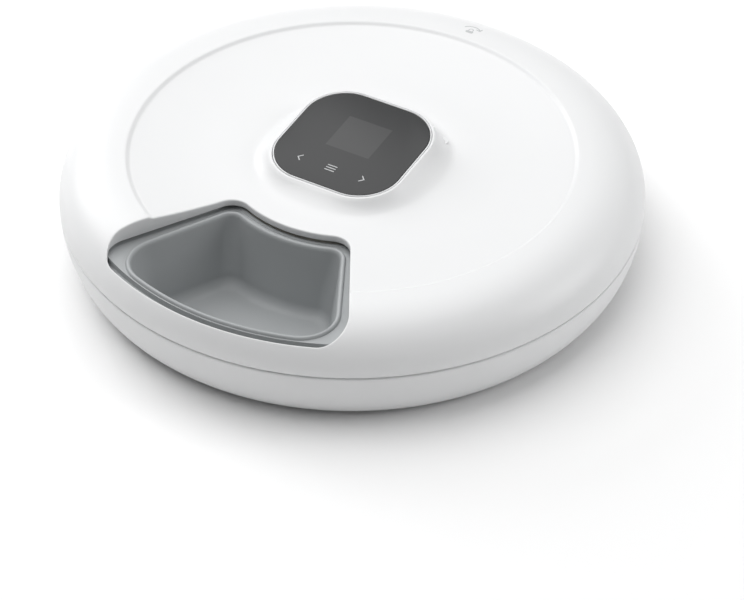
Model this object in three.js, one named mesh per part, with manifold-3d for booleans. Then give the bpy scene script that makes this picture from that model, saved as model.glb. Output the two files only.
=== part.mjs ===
// Automatic pet feeder: a round base, a six-compartment food tray that a motor turns one place at a time,
// and a twist-on lid with one serving window and a tilted touch panel. Three C cells or a plug-in supply
// feed it. Millimetres, +Z up, origin on the floor under the middle of the base, window facing -Y.
import * as THREE from 'three';
import { mergeVertices } from 'three/addons/utils/BufferGeometryUtils.js';
import Module from 'manifold-3d';

const wasm = await Module();
wasm.setup();

// ---------------------------------------------------------------- driving dimensions
const gap = 0.3; // between two pieces that touch
const swingGap = 0.6; // around a piece that turns
const roundSides = 40; // facets round a full turn of the large pieces

// Base and lid outline
const bodyRadius = 160;
const footHeight = 2.2; // underside of the base above the floor
const floorThickness = 2.8;
const baseWall = 2.5;
const seamHeight = 35;
const baseCurveWidth = 23.9;
const baseCurveLift = 1.4; // widest level above the seam
const baseCurveOvershoot = 4; // the side curve is cut off this far above its own lowest point
const edgeRounding = 1.4; // both edges roll in at the seam
const lidWall = 2.5;
const shoulderWidth = 32;
const shoulderRise = 24.9;
const shoulderLift = 2.5; // widest level of the lid above the seam
const crestWidth = 5.1;
const dishStep = 1.5;
const dishStepWidth = 1.9;
const dishDepth = 5.7;
const dishLowRadius = 76;
const dishPower = 1.6;

// Rim that locates the lid, with its bayonet
const lipThickness = 2;
const lipRise = 8; // above the seam
const lipSetback = 4.6; // lip's outer face inside the widest radius
const lugCount = 4;
const lugLength = 14;
const lugHeight = 2.5;
const lugReach = 1.4; // past the lip's outer face
const lugLift = 2; // above the seam
const twistAngle = THREE.MathUtils.degToRad(15);

// Tray
const compartments = 6;
const trayWall = 1.8;
const trayUnderGap = 2.7;
const trayLidGap = 2.5; // ridge to the lid's underside at its lowest
const ridgeHeight = 5.2; // above the flange the rollers carry
const deckDrop = 1.6; // from the ridge's crest to the deck between the compartments
const deckOverhang = 1.6; // how far the deck runs on past the ridge
const ridgeHalfAngle = THREE.MathUtils.degToRad(27.8);
const ridgeSlope = 1.5; // width of the slope from the deck up to the ridge's crest
const ridgeCornerInner = 9;
const ridgeCornerOuter = 20;
const trayDraft = Math.tan(THREE.MathUtils.degToRad(8));
const ridgeInset = 4; // from the flange's edge to the ridge's crest
const flangeThickness = 2;

// Serving window
const windowHalfAngle = THREE.MathUtils.degToRad(30);
const windowInnerReach = 3.5; // past the ridge's crest, towards the middle
const windowOuterReach = 5.6; // past the ridge's crest, outwards
const windowCornerInner = 11;
const windowCornerOuter = 15;
const windowWall = 2;
const windowTrayGap = 1;
const windowSkirt = 6; // how far the outer stretch of its wall reaches down

// Touch panel
const panelHalf = 37.2;
const panelCorner = 23.2;
const panelTilt = THREE.MathUtils.degToRad(5.4);
const panelLift = 3.9; // panel centre above the lid's crest
const glassThickness = 1.6;
const bezelWidth = 0.8;
const bezelDepth = 4.2;
const bezelLedge = 4.5;
const plinthRim = 1.4;
const flareRadius = 58;
const lcdWidth = 32;
const lcdDepth = 31;
const lcdThickness = 2.2;
const lcdOffset = 6; // towards the rear of the panel
const boardThickness = 1.6;

// Drive
const gearModule = 1.5;
const idlerTeeth = 12;
const pinionTeeth = 10;
const pressureAngle = THREE.MathUtils.degToRad(25);
const toothSlack = 0.14;
const gearThickness = 5.5;
const ringHeight = 10;
const ringBand = 3.1; // solid band behind the ring's teeth
const ringShoulder = 3;
const hubWall = 2;
const hubPlate = 2;
const hubDrop = 1.7; // below the ridge's crest
const hubClearance = 3.1; // round the corners of the battery box
const hubTeethGap = 1.3;
const ledgeThickness = 2.7;
const bracketThickness = 2;
const motorRadius = 12;
const gearheadRadius = 12.4;
const motorGap = 2; // to the battery box
const gearheadHeight = 7;
const shaftRadius = 2;
const axleRadius = 1.5;
const rollerRadius = 4;
const rollerWidth = 2.8;
const rollerCount = 4;

// Batteries
const cellCount = 3;
const cellRadius = 13.1;
const cellLength = 50;
const cellNub = 1.5;
const springLength = 4.4;
const springWire = 0.5;
const boxWall = 1.5;
const boxShift = -5; // cells' middle along Y
const doorThickness = 2.1;
const hingeRadius = 1.9;

// Contact socket between hub and lid
const swivelRadius = 15;
const swivelFlange = 2.5;
const bossHalf = 9;
const pinRadius = 1.2;
const pinSpacing = 8;

// Fasteners and feet
const screwRadius = 1.3;
const screwHeadRadius = 2.9;
const screwHeadHeight = 1.4;
const footRadius = 8;
const footInset = 35;

// ---------------------------------------------------------------- worked-out levels and radii
const floorTop = footHeight + floorThickness;
const baseAxisZ = seamHeight + baseCurveLift;
const baseCurveDrop = baseAxisZ - footHeight + baseCurveOvershoot;
const lidAxisZ = seamHeight + shoulderLift;
const crestZ = lidAxisZ + shoulderRise;
const shoulderRadius = bodyRadius - shoulderWidth;
const crestRadius = shoulderRadius - crestWidth;
const dishRadius = crestRadius - dishStepWidth;
const dishLowZ = crestZ - dishDepth;
const lidUnderside = dishLowZ - lidWall;

const trayTop = lidUnderside - trayLidGap;
const landZ = trayTop - ridgeHeight;
const trayBottom = floorTop + trayUnderGap;
const trayFloor = trayBottom + trayWall;
const lipOuter = bodyRadius - lipSetback;
const lipInner = lipOuter - lipThickness;
const lipTop = seamHeight + lipRise;
const flangeRadius = lipInner - swingGap;
const ridgeOuter = flangeRadius - ridgeInset;
const deckTop = trayTop - deckDrop;
const deckEdge = ridgeOuter + deckOverhang;

const cellPitch = 2 * cellRadius + 0.3;
const doorTop = footHeight + doorThickness;
const cellZ = doorTop + 0.7 + cellRadius;
const boxHalfX = cellCount * cellPitch / 2 + 0.4;
const cellFront = boxShift - cellLength / 2;
const cellBack = boxShift + cellLength / 2;
const boxFront = cellFront - springLength - 0.6;
const boxBack = cellBack + 1.5;
const boxRoof = cellZ + cellRadius + 0.7;
const boardZ = boxRoof + boxWall + 2.4;

// The ring gets the whole number of teeth that clears the battery box and the motor inside the hub
const idlerPitch = gearModule * idlerTeeth / 2;
const pinionPitch = gearModule * pinionTeeth / 2;
const addendum = 0.8 * gearModule;
const dedendum = 1.25 * gearModule;
const boxReach = Math.hypot(boxHalfX + boxWall, boxFront - boxWall);
const pitchForBox = boxReach + hubClearance + hubWall + hubTeethGap + addendum;
const pitchForMotor = boxBack + boxWall + motorGap + gearheadRadius + pinionPitch + 2 * idlerPitch;
const ringTeeth = Math.ceil(2 * Math.max(pitchForBox, pitchForMotor) / gearModule);
const ringPitch = gearModule * ringTeeth / 2;
const ringTip = ringPitch - addendum;
const ringOuter = ringPitch + dedendum + ringBand;
const hubRadius = ringTip - hubTeethGap;
const hubInner = hubRadius - hubWall;
const skirtInner = ringOuter + swingGap;
const skirtOuter = skirtInner + 2;
const ridgeInner = skirtOuter + 2.5;

const hubTop = trayTop - hubDrop;
const ringTop = hubTop;
const ringBottom = ringTop - ringHeight;
const gearTop = hubTop - hubPlate - 0.5;
const gearBottom = gearTop - gearThickness;
const ledgeTop = ringBottom - gap;
const bracketTop = gearBottom - 2;
const bracketBottom = bracketTop - bracketThickness;
const idlerY = ringPitch - idlerPitch;
const motorY = idlerY - idlerPitch - pinionPitch;
const linerBottom = hubTop + 2.3;
const linerTop = linerBottom + 1.5;
const linerRadius = flareRadius + 4;

const ridge = { inner: ridgeInner, outer: ridgeOuter, half: ridgeHalfAngle };
const windowInner = ridgeInner - windowInnerReach;
const windowOuter = ridgeOuter + windowOuterReach;
const windowBottom = trayTop + windowTrayGap;
const panelZ = crestZ + panelLift;

// ---------------------------------------------------------------- solid helpers
function weld(geometry) {
  const bare = geometry.clone();
  bare.deleteAttribute('normal');
  bare.deleteAttribute('uv');
  const merged = mergeVertices(bare, 1e-4);
  const index = merged.getIndex().array;
  const kept = [];
  for (let i = 0; i < index.length; i += 3) {
    const [a, b, c] = [index[i], index[i + 1], index[i + 2]];
    if (a !== b && b !== c && c !== a) kept.push(a, b, c);
  }
  merged.setIndex(kept);
  return merged;
}

function signedVolume(geometry) {
  const p = geometry.getAttribute('position');
  const index = geometry.getIndex().array;
  const [a, b, c] = [new THREE.Vector3(), new THREE.Vector3(), new THREE.Vector3()];
  let sum = 0;
  for (let i = 0; i < index.length; i += 3) {
    a.fromBufferAttribute(p, index[i]);
    b.fromBufferAttribute(p, index[i + 1]);
    c.fromBufferAttribute(p, index[i + 2]);
    sum += a.dot(b.cross(c));
  }
  return sum / 6;
}

function facingOut(geometry) {
  const closed = weld(geometry);
  if (signedVolume(closed) < 0) closed.setIndex(Array.from(closed.getIndex().array).reverse());
  return closed;
}

function solid(geometry) {
  const closed = facingOut(geometry);
  return new wasm.Manifold(new wasm.Mesh({
    numProp: 3,
    vertProperties: new Float32Array(closed.getAttribute('position').array),
    triVerts: new Uint32Array(closed.getIndex().array),
  }));
}

function geometryOf(manifold) {
  const out = manifold.getMesh();
  const geometry = new THREE.BufferGeometry();
  geometry.setAttribute('position', new THREE.BufferAttribute(new Float32Array(out.vertProperties), 3));
  geometry.setIndex(Array.from(out.triVerts));
  return geometry;
}

function lathe(points, segments = roundSides) {
  const profile = points.map(([r, z]) => new THREE.Vector2(Math.max(r, 0), z));
  const closed = profile[0].x > 1e-6 || profile[profile.length - 1].x > 1e-6;
  if (closed) profile.push(profile[0].clone());
  return new THREE.LatheGeometry(profile, segments).rotateX(Math.PI / 2);
}

function cylinder(radius, bottom, top, sides = 20, x = 0, y = 0) {
  const geometry = new THREE.CylinderGeometry(radius, radius, top - bottom, sides);
  return geometry.rotateX(Math.PI / 2).translate(x, y, (top + bottom) / 2);
}

function block(x0, x1, y0, y1, z0, z1) {
  const box = new THREE.BoxGeometry(x1 - x0, y1 - y0, z1 - z0);
  return box.translate((x0 + x1) / 2, (y0 + y1) / 2, (z0 + z1) / 2);
}

function prism(outline, bottom, top) {
  const shape = new THREE.Shape(outline.map(([x, y]) => new THREE.Vector2(x, y)));
  const plate = new THREE.ExtrudeGeometry(shape, { depth: top - bottom, bevelEnabled: false });
  return plate.translate(0, 0, bottom);
}

// A closed skin through rings of equally many points, each ring a list of [x, y, z]
function loft(rings) {
  const count = rings[0].length;
  const positions = rings.flat().flat();
  const index = [];
  for (let level = 0; level + 1 < rings.length; level += 1) {
    for (let i = 0; i < count; i += 1) {
      const a = level * count + i;
      const b = level * count + (i + 1) % count;
      index.push(a, b, b + count, a, b + count, a + count);
    }
  }
  const flat = rings[0].map(([x, y]) => new THREE.Vector2(x, y));
  const last = (rings.length - 1) * count;
  const topFlat = rings[rings.length - 1].map(([x, y]) => new THREE.Vector2(x, y));
  for (const [a, b, c] of THREE.ShapeUtils.triangulateShape(flat, [])) index.push(a, c, b);
  for (const [a, b, c] of THREE.ShapeUtils.triangulateShape(topFlat, [])) {
    index.push(last + a, last + b, last + c);
  }
  const geometry = new THREE.BufferGeometry();
  geometry.setAttribute('position', new THREE.Float32BufferAttribute(positions, 3));
  geometry.setIndex(index);
  return geometry;
}

// Ring sector about -Y with round corners; every inset gives the same number of points
function sector({ inner, outer, half }, inset, cornerInner, cornerOuter) {
  const [r, R] = [inner + inset, outer - inset];
  const [ci, co] = [Math.max(cornerInner - inset, 1), Math.max(cornerOuter - inset, 1)];
  const side = [Math.cos(half), Math.sin(half)];
  const normal = [Math.sin(half), -Math.cos(half)];
  const centre = (distance, corner) => {
    const along = Math.sqrt(distance ** 2 - (inset + corner) ** 2);
    return [side[0] * along + normal[0] * (inset + corner), side[1] * along + normal[1] * (inset + corner)];
  };
  const outerCentre = centre(R - co, co);
  const innerCentre = centre(r + ci, ci);
  const outerAngle = Math.atan2(outerCentre[1], outerCentre[0]);
  const innerAngle = Math.atan2(innerCentre[1], innerCentre[0]);
  const points = [];
  const arc = (cx, cy, radius, from, to, steps, first) => {
    for (let i = first; i <= steps; i += 1) {
      const angle = from + (to - from) * i / steps;
      points.push([cx + radius * Math.cos(angle), cy + radius * Math.sin(angle)]);
    }
  };
  const upright = half + Math.PI / 2;
  arc(0, 0, R, -outerAngle, outerAngle, 6, 0);
  arc(...outerCentre, co, outerAngle, upright, 2, 1);
  arc(...innerCentre, ci, upright, Math.PI + innerAngle, 2, 0);
  arc(0, 0, r, innerAngle, -innerAngle, 3, 1);
  arc(innerCentre[0], -innerCentre[1], ci, Math.PI - innerAngle, 2 * Math.PI - upright, 2, 1);
  arc(outerCentre[0], -outerCentre[1], co, -upright, -outerAngle, 2, 0);
  points.pop();
  return points.map(([x, y]) => [y, -x]);
}

function roundedSquare(half, corner, cornerSteps = 4) {
  const points = [];
  const flat = half - corner;
  for (let side = 0; side < 4; side += 1) {
    const start = side * Math.PI / 2;
    const [cx, cy] = [[flat, flat], [-flat, flat], [-flat, -flat], [flat, -flat]][side];
    for (let i = 0; i <= cornerSteps; i += 1) {
      const angle = start + i * Math.PI / 2 / cornerSteps;
      points.push([cx + corner * Math.cos(angle), cy + corner * Math.sin(angle)]);
    }
  }
  return points;
}

// Involute spur gear outline, with one tooth centred on the direction `toward`
const curvedFlank = (low, high) => [low, (low + high) / 2, high];
const straightFlank = (low, high) => [low, high];
function gearOutline(teeth, above, below, slack, toward, radii = curvedFlank) {
  const pitch = gearModule * teeth / 2;
  const base = pitch * Math.cos(pressureAngle);
  const [tip, root] = [pitch + above, pitch - below];
  const start = Math.max(base, root);
  const involute = (r) => Math.tan(Math.acos(Math.min(base / r, 1))) - Math.acos(Math.min(base / r, 1));
  const half = (Math.PI * gearModule / 2 - slack) / (2 * pitch) + involute(pitch);
  const flank = radii(start, tip).map((r) => [r, half - involute(r)]);
  if (root < start - 1e-6) flank.unshift([root, flank[0][1]]);
  const points = [];
  for (let tooth = 0; tooth < teeth; tooth += 1) {
    const middle = toward + tooth * 2 * Math.PI / teeth;
    for (const [r, angle] of flank) points.push([r * Math.cos(middle - angle), r * Math.sin(middle - angle)]);
    for (const [r, angle] of [...flank].reverse()) {
      points.push([r * Math.cos(middle + angle), r * Math.sin(middle + angle)]);
    }
  }
  return points;
}

const polar = (radius, angle) => [radius * Math.cos(angle), radius * Math.sin(angle)];
function circleShape(radius, sides) {
  const corners = Array.from({ length: sides }, (_, k) => polar(radius, k * 2 * Math.PI / sides));
  return new THREE.Shape(corners.map(([x, y]) => new THREE.Vector2(x, y)));
}
const turned = (geometry, angle) => geometry.clone().rotateZ(angle);

// ---------------------------------------------------------------- finishes
function finish(color, roughness, metalness = 0) {
  return new THREE.MeshStandardMaterial({ color, roughness, metalness });
}
const shellWhite = finish(0xf3f4f5, 0.35);
const trayGrey = finish(0x8e9498, 0.5);
const innerWhite = finish(0xe2e4e6, 0.5);
const glassDark = finish(0x3a3f45, 0.15);
const lcdGrey = finish(0x4c5257, 0.2);
const bezelWhite = finish(0xf0f2f3, 0.3);
const rubberGrey = finish(0x55585b, 0.9);
const acetal = finish(0xdedbd0, 0.45);
const steel = finish(0xb8bcc0, 0.35, 0.9);
const brass = finish(0xb8985a, 0.35, 0.9);
const cellBlue = finish(0x35566f, 0.4, 0.3);
const boardGreen = finish(0x2c6b4a, 0.6);
const blackPlastic = finish(0x26282a, 0.5);
const leadRed = finish(0x9b3a36, 0.6);

const feeder = new THREE.Group();
function add(name, geometry, material, parent = feeder) {
  const mesh = new THREE.Mesh(facingOut(geometry), material);
  mesh.name = name;
  parent.add(mesh);
  return mesh;
}

// ---------------------------------------------------------------- base shell
const lugAngle = lugLength / lipOuter;
const baseCurve = (angle) => [
  bodyRadius - baseCurveWidth + baseCurveWidth * Math.cos(angle),
  baseAxisZ - baseCurveDrop * Math.sin(angle),
];
const insideCurve = (angle) => [
  bodyRadius - baseCurveWidth + (baseCurveWidth - baseWall) * Math.cos(angle),
  baseAxisZ - (baseCurveDrop - baseWall) * Math.sin(angle),
];

const socketAngle = THREE.MathUtils.degToRad(53);
const socketCentre = polar(hubInner - 12, socketAngle);
const socketHalf = 6.5;
const recessTop = footHeight + 8.5;
const cableWidth = 4.2;
const grooveDepth = 1.8;
const grooveRoofZ = footHeight + grooveDepth + 2;
const socketReach = Math.hypot(...socketCentre);
const bossCircle = hubInner - 4;
const bossRadius = 4;

function baseProfile() {
  const lowest = Math.asin((baseAxisZ - footHeight) / baseCurveDrop);
  const highest = Math.asin((baseAxisZ - seamHeight + edgeRounding) / baseCurveDrop);
  const innerLowest = Math.asin((baseAxisZ - floorTop) / (baseCurveDrop - baseWall));
  const outside = [];
  const inside = [];
  for (let i = 0; i <= 5; i += 1) outside.push(baseCurve(lowest + (highest - lowest) * i / 5));
  for (let i = 0; i <= 3; i += 1) inside.push(insideCurve(0.2 + (innerLowest - 0.2) * i / 3));
  const edgeZ = seamHeight - gap / 2;
  const shelfZ = inside[0][1] + (inside[0][0] - lipInner);
  return [
    [0, footHeight], ...outside, [bodyRadius - edgeRounding, edgeZ], [lipOuter, edgeZ], [lipOuter, lipTop],
    [lipInner, lipTop], [lipInner, Math.min(shelfZ, edgeZ - baseWall)], ...inside, [0, floorTop],
  ];
}

// L-shaped passage of one lug: straight down, then sideways under the lip
function lugPassage(middle) {
  const [low, high] = [seamHeight + lugLift - 0.4, seamHeight + lugLift + lugHeight + 0.4];
  const clearance = 0.8 / lipOuter;
  const wedge = (from, to, z0, z1) => {
    const [near, far] = [lipInner - 1, lipOuter + 1];
    const outline = [0, 1, 2, 3].map((i) => polar(far, from + (to - from) * i / 3));
    outline.push(...[3, 2, 1, 0].map((i) => polar(near, from + (to - from) * i / 3)));
    return solid(prism(outline, z0, z1));
  };
  const down = wedge(middle - lugAngle / 2 - clearance, middle + lugAngle / 2 + clearance, low, lipTop + 1);
  return down.add(wedge(middle - twistAngle - lugAngle / 2 - clearance, middle, low, high));
}

const screwPlaces = [0, 1, 2, 3].map((i) => polar(bossCircle, i * Math.PI / 2));
const footPlaces = [0, 1, 2, 3].map((i) => polar(bodyRadius - footInset, Math.PI / 4 + i * Math.PI / 2));
const rollerStep = 2 * Math.PI / rollerCount;
const rollerAngles = Array.from({ length: rollerCount }, (_, i) => Math.PI / 4 + i * rollerStep);
const rollerZ = landZ - flangeThickness - 0.1 - rollerRadius;
const rollerMiddle = flangeRadius - 0.1 - rollerWidth / 2;
const hingeY = boxFront + hingeRadius;
const hingeZ = footHeight + hingeRadius;
const bossWidth = 5;

function radialPin(radius, from, to, angle, z) {
  const geometry = new THREE.CylinderGeometry(radius, radius, to - from, 12);
  geometry.rotateZ(-Math.PI / 2).translate((from + to) / 2, 0, z);
  return geometry.rotateZ(angle);
}

function baseShell() {
  let shell = solid(lathe(baseProfile()));
  const [sx, sy] = socketCentre;
  const housing = socketHalf + 1.5;
  const housingBlock = block(sx - housing, sx + housing, sy - housing, sy + housing,
    footHeight, recessTop + 1.5);
  shell = shell.add(solid(housingBlock));
  const grooveHalf = cableWidth / 2 + 1.5;
  const grooveRoof = block(socketReach, bodyRadius - baseCurveWidth, -grooveHalf, grooveHalf,
    footHeight + 0.5, grooveRoofZ);
  shell = shell.add(solid(turned(grooveRoof, socketAngle)));
  for (const side of [-1, 1]) {
    const [near, far] = [side * (boxHalfX + gap), side * (boxHalfX + bossWidth)];
    shell = shell.add(solid(block(Math.min(near, far), Math.max(near, far), hingeY - 3.2, hingeY + 3.2,
      footHeight, hingeZ + 3)));
  }
  const groove = block(socketReach, bodyRadius, -cableWidth / 2, cableWidth / 2, 0, footHeight + grooveDepth);
  shell = shell.subtract(solid(turned(groove, socketAngle)));
  shell = shell.subtract(solid(block(sx - socketHalf, sx + socketHalf, sy - socketHalf, sy + socketHalf,
    0, recessTop)));
  shell = shell.subtract(solid(block(-boxHalfX, boxHalfX, boxFront - 0.4, boxBack, 0, floorTop + 1)));
  const hingeHole = new THREE.CylinderGeometry(1.5, 1.5, 2 * (boxHalfX + 4), 16);
  shell = shell.subtract(solid(hingeHole.rotateZ(Math.PI / 2).translate(0, hingeY, hingeZ)));
  for (const [x, y] of screwPlaces) {
    shell = shell.subtract(solid(cylinder(screwRadius + gap, 0, floorTop + 1, 12, x, y)));
    shell = shell.subtract(solid(cylinder(screwHeadRadius + gap, 0, footHeight + screwHeadHeight, 16, x, y)));
  }
  for (const [x, y] of footPlaces) {
    shell = shell.subtract(solid(cylinder(footRadius + gap, 0, footHeight + 1, 20, x, y)));
  }
  for (const angle of rollerAngles) {
    shell = shell.subtract(solid(radialPin(axleRadius + gap, lipInner - 1, lipOuter + 1, angle, rollerZ)));
  }
  for (let i = 0; i < lugCount; i += 1) shell = shell.subtract(lugPassage(i * 2 * Math.PI / lugCount));
  return shell;
}
add('base_shell', geometryOf(baseShell()), shellWhite);

footPlaces.forEach(([x, y], i) => {
  const foot = [[0, 0], [footRadius - 0.8, 0], [footRadius, 0.8], [footRadius, footHeight + 1 - gap],
    [0, footHeight + 1 - gap]];
  add(`rubber_foot_${i + 1}`, lathe(foot, 16).translate(x, y, 0), rubberGrey);
});

// ---------------------------------------------------------------- battery bay
function batteryBox() {
  const [outX, outFront, outBack] = [boxHalfX + boxWall, boxFront - boxWall, boxBack + boxWall];
  const bottom = floorTop + gap;
  let box = solid(block(-outX, outX, outFront, outBack, bottom, boxRoof + boxWall));
  box = box.subtract(solid(block(-boxHalfX, boxHalfX, boxFront, boxBack, bottom - 1, boxRoof)));
  for (const side of [-1, 1]) {
    const [near, far] = [side * (boxHalfX - 1), side * (outX + 1)];
    box = box.subtract(solid(block(Math.min(near, far), Math.max(near, far), outFront - 1, hingeY + 3.5,
      bottom - 1, hingeZ + 3.3)));
  }
  for (const [x, y] of [[-30, -28], [30, -28], [-30, 14], [30, 14]]) {
    box = box.add(solid(cylinder(2.5, boxRoof + 0.5, boardZ - gap, 12, x, y)));
  }
  return box;
}
add('battery_box', geometryOf(batteryBox()), innerWhite);

const alongY = (geometry) => geometry.rotateX(-Math.PI / 2);
for (let i = 0; i < cellCount; i += 1) {
  const x = (i - (cellCount - 1) / 2) * cellPitch;
  const profile = [[0, 0], [cellRadius, 0], [cellRadius, cellLength - cellNub], [3.4, cellLength - cellNub],
    [3.4, cellLength], [0, cellLength]];
  const cell = add(`battery_cell_${i + 1}`, alongY(lathe(profile, 18)), cellBlue);
  cell.position.set(x, cellFront, cellZ);

  const turns = 2.5;
  const path = new THREE.Curve();
  path.getPoint = (t) => {
    const angle = t * turns * 2 * Math.PI;
    const radius = 7 - 4 * t;
    const y = boxFront + gap + springWire + t * (springLength - 2 * springWire - gap);
    return new THREE.Vector3(radius * Math.cos(angle), y, radius * Math.sin(angle));
  };
  const wire = circleShape(springWire, 4);
  const coil = new THREE.ExtrudeGeometry(wire, { steps: 20, extrudePath: path });
  const spring = add(`battery_spring_${i + 1}`, coil, steel);
  spring.position.set(x, 0, cellZ);
}
const strip = block(-boxHalfX + 4, boxHalfX - 4, cellBack + gap, cellBack + gap + 0.6, cellZ - 6, cellZ + 6);
add('contact_strip', strip, steel);

function batteryDoor() {
  const side = boxHalfX - gap;
  let door = solid(block(-side, side, hingeY, boxBack - gap, footHeight, doorTop));
  const barrel = (radius, half) => {
    const round = new THREE.CylinderGeometry(radius, radius, 2 * half, 20);
    return round.rotateZ(Math.PI / 2).translate(0, hingeY, hingeZ);
  };
  door = door.add(solid(barrel(hingeRadius, side))).add(solid(barrel(1.1, boxHalfX + 3.6)));
  return door.subtract(solid(block(-9, 9, boxBack - 5, boxBack, footHeight - 1, footHeight + 0.9)));
}
add('battery_door', geometryOf(batteryDoor()), shellWhite);

// ---------------------------------------------------------------- hub
function hubTower() {
  let hub = solid(lathe([
    [hubInner, floorTop + gap], [hubRadius, floorTop + gap], [hubRadius, ledgeTop - ledgeThickness - 4],
    [ringOuter + 0.8, ledgeTop - ledgeThickness], [ringOuter + 0.8, ledgeTop], [hubRadius, ledgeTop],
    [hubRadius, hubTop], [0, hubTop], [0, hubTop - hubPlate], [hubInner, hubTop - hubPlate],
  ]));
  for (const [x, y] of screwPlaces) {
    let boss = solid(cylinder(bossRadius, floorTop + gap, floorTop + 12, 16, x, y));
    boss = boss.add(solid(turned(block(bossCircle, hubInner + 1, -1.5, 1.5, floorTop + gap, floorTop + 12),
      Math.atan2(y, x))));
    hub = hub.add(boss).subtract(solid(cylinder(screwRadius + gap, floorTop, floorTop + 10, 12, x, y)));
  }
  hub = hub.subtract(solid(cylinder(swivelRadius + gap, hubTop - hubPlate - 1, hubTop + 1, 32)));
  const channel = block(socketReach, hubRadius + 2, -cableWidth / 2 - 1.5 - gap, cableWidth / 2 + 1.5 + gap,
    floorTop, grooveRoofZ + gap);
  hub = hub.subtract(solid(turned(channel, socketAngle)));
  const clearance = idlerPitch + addendum + swingGap;
  hub = hub.subtract(solid(cylinder(clearance, gearBottom - 0.6, gearTop + 0.2, 24, 0, idlerY)));
  const [nearSensor, farSensor] = [ringOuter - 5, ringOuter - 0.4];
  return hub.subtract(solid(block(-farSensor, -nearSensor, -3.3, 3.3, ledgeTop - 2.2, ledgeTop + 1)));
}
add('hub_tower', geometryOf(hubTower()), innerWhite);
const sensor = block(-ringOuter + 0.7, -ringOuter + 4.7, -3, 3, ledgeTop - 1.9, ledgeTop - 0.1);
add('index_sensor', sensor, blackPlastic);

const screwProfile = (length) => [[0, 0], [screwHeadRadius, 0], [screwHeadRadius, screwHeadHeight - gap],
  [screwRadius, screwHeadHeight - gap], [screwRadius, length], [0, length]];
screwPlaces.forEach(([x, y], i) => {
  add(`hub_screw_${i + 1}`, lathe(screwProfile(11), 10).translate(x, y, footHeight), steel);
});

add('main_board', block(-35, 35, -32, 18, boardZ, boardZ + boardThickness), boardGreen);
const socketTop = recessTop - gap;
function powerSocket() {
  const [x, y] = socketCentre;
  const body = solid(block(x - 5, x + 5, y - 5, y + 5, socketTop - 4.5, socketTop));
  return body.subtract(solid(block(x - 4.2, x + 4.2, y - 1.6, y + 1.6, 0, socketTop - 1.2)));
}
add('power_socket', geometryOf(powerSocket()), blackPlastic);

// ---------------------------------------------------------------- motor and gears
const motorBottom = floorTop + 4;
const gearheadBottom = bracketBottom - gap - gearheadHeight;
add('drive_motor', cylinder(motorRadius, motorBottom, gearheadBottom - gap, 28, 0, motorY), steel);
add('gearhead', cylinder(gearheadRadius, gearheadBottom, bracketBottom - gap, 28, 0, motorY), brass);

const bracketScrews = [[-8.6, motorY], [8.6, motorY]];
function gearBracket() {
  const reach = motorRadius + 4;
  let plate = solid(block(-reach, reach, motorY - 11, idlerY + 3, bracketBottom, bracketTop));
  plate = plate.intersect(solid(cylinder(hubInner - gap, 0, hubTop, roundSides)));
  plate = plate.subtract(solid(cylinder(shaftRadius + 1.5, 0, hubTop, 20, 0, motorY)));
  plate = plate.subtract(solid(cylinder(axleRadius + gap, 0, hubTop, 16, 0, idlerY)));
  for (const [x, y] of bracketScrews) plate = plate.subtract(solid(cylinder(1.1 + gap, 0, hubTop, 12, x, y)));
  return plate;
}
add('gear_bracket', geometryOf(gearBracket()), steel);
bracketScrews.forEach(([x, y], i) => {
  const head = [[0, 0], [2.1, 0], [2.1, 1.1], [0, 1.1]];
  const shank = [[0, -bracketThickness - gap / 2], [1.1, -bracketThickness - gap / 2], [1.1, 0.2], [0, 0.2]];
  const screw = solid(lathe(head, 12)).add(solid(lathe(shank, 12)));
  add(`bracket_screw_${i + 1}`, geometryOf(screw).translate(x, y, bracketTop + gap / 2), steel);
});

function spurGear(teeth, bore, toward) {
  const gear = solid(prism(gearOutline(teeth, addendum, dedendum, toothSlack, toward), gearBottom, gearTop));
  return geometryOf(gear.subtract(solid(cylinder(bore, gearBottom - 1, gearTop + 1, 20))));
}
const pinionAngle = Math.PI / 2 + Math.PI / pinionTeeth;
add('motor_shaft', cylinder(shaftRadius, bracketBottom + 0.1, gearTop, 20, 0, motorY), steel);
add('motor_pinion', spurGear(pinionTeeth, shaftRadius + gap, pinionAngle), brass).position.y = motorY;
add('idler_axle', cylinder(axleRadius, bracketBottom - 1, hubTop - hubPlate - gap, 16, 0, idlerY), steel);
add('idler_gear', spurGear(idlerTeeth, axleRadius + gap, Math.PI / 2), acetal).position.y = idlerY;

// ---------------------------------------------------------------- carousel
const carousel = new THREE.Group();
feeder.add(carousel);
const keyWidth = 8;
const keyDepth = 1.2;

function carouselRing() {
  const shoulderTop = ringBottom + 3;
  let ring = solid(lathe([
    [ringTip - 1, ringBottom], [ringOuter, ringBottom], [ringOuter + ringShoulder, ringBottom + 1],
    [ringOuter + ringShoulder, shoulderTop], [ringOuter, shoulderTop], [ringOuter, ringTop],
    [ringTip - 1, ringTop],
  ]));
  const teeth = gearOutline(ringTeeth, dedendum, addendum, -toothSlack, Math.PI / 2, straightFlank);
  ring = ring.subtract(solid(prism(teeth, ringBottom - 1, ringTop + 1)));
  for (let i = 0; i < compartments; i += 1) {
    const angle = Math.PI + i * 2 * Math.PI / compartments;
    const notch = block(ringOuter - 2.6, ringOuter + 1, -2, 2, ringBottom - 1, ringBottom + 0.9);
    ring = ring.subtract(solid(turned(notch, angle)));
    const keyReach = ringOuter + keyDepth;
    const key = block(ringOuter - 1, keyReach, -keyWidth / 2, keyWidth / 2, shoulderTop - 1, ringTop - 1);
    ring = ring.add(solid(turned(key, angle)));
  }
  return ring;
}
add('carousel_ring', geometryOf(carouselRing()), acetal, carousel);

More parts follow.
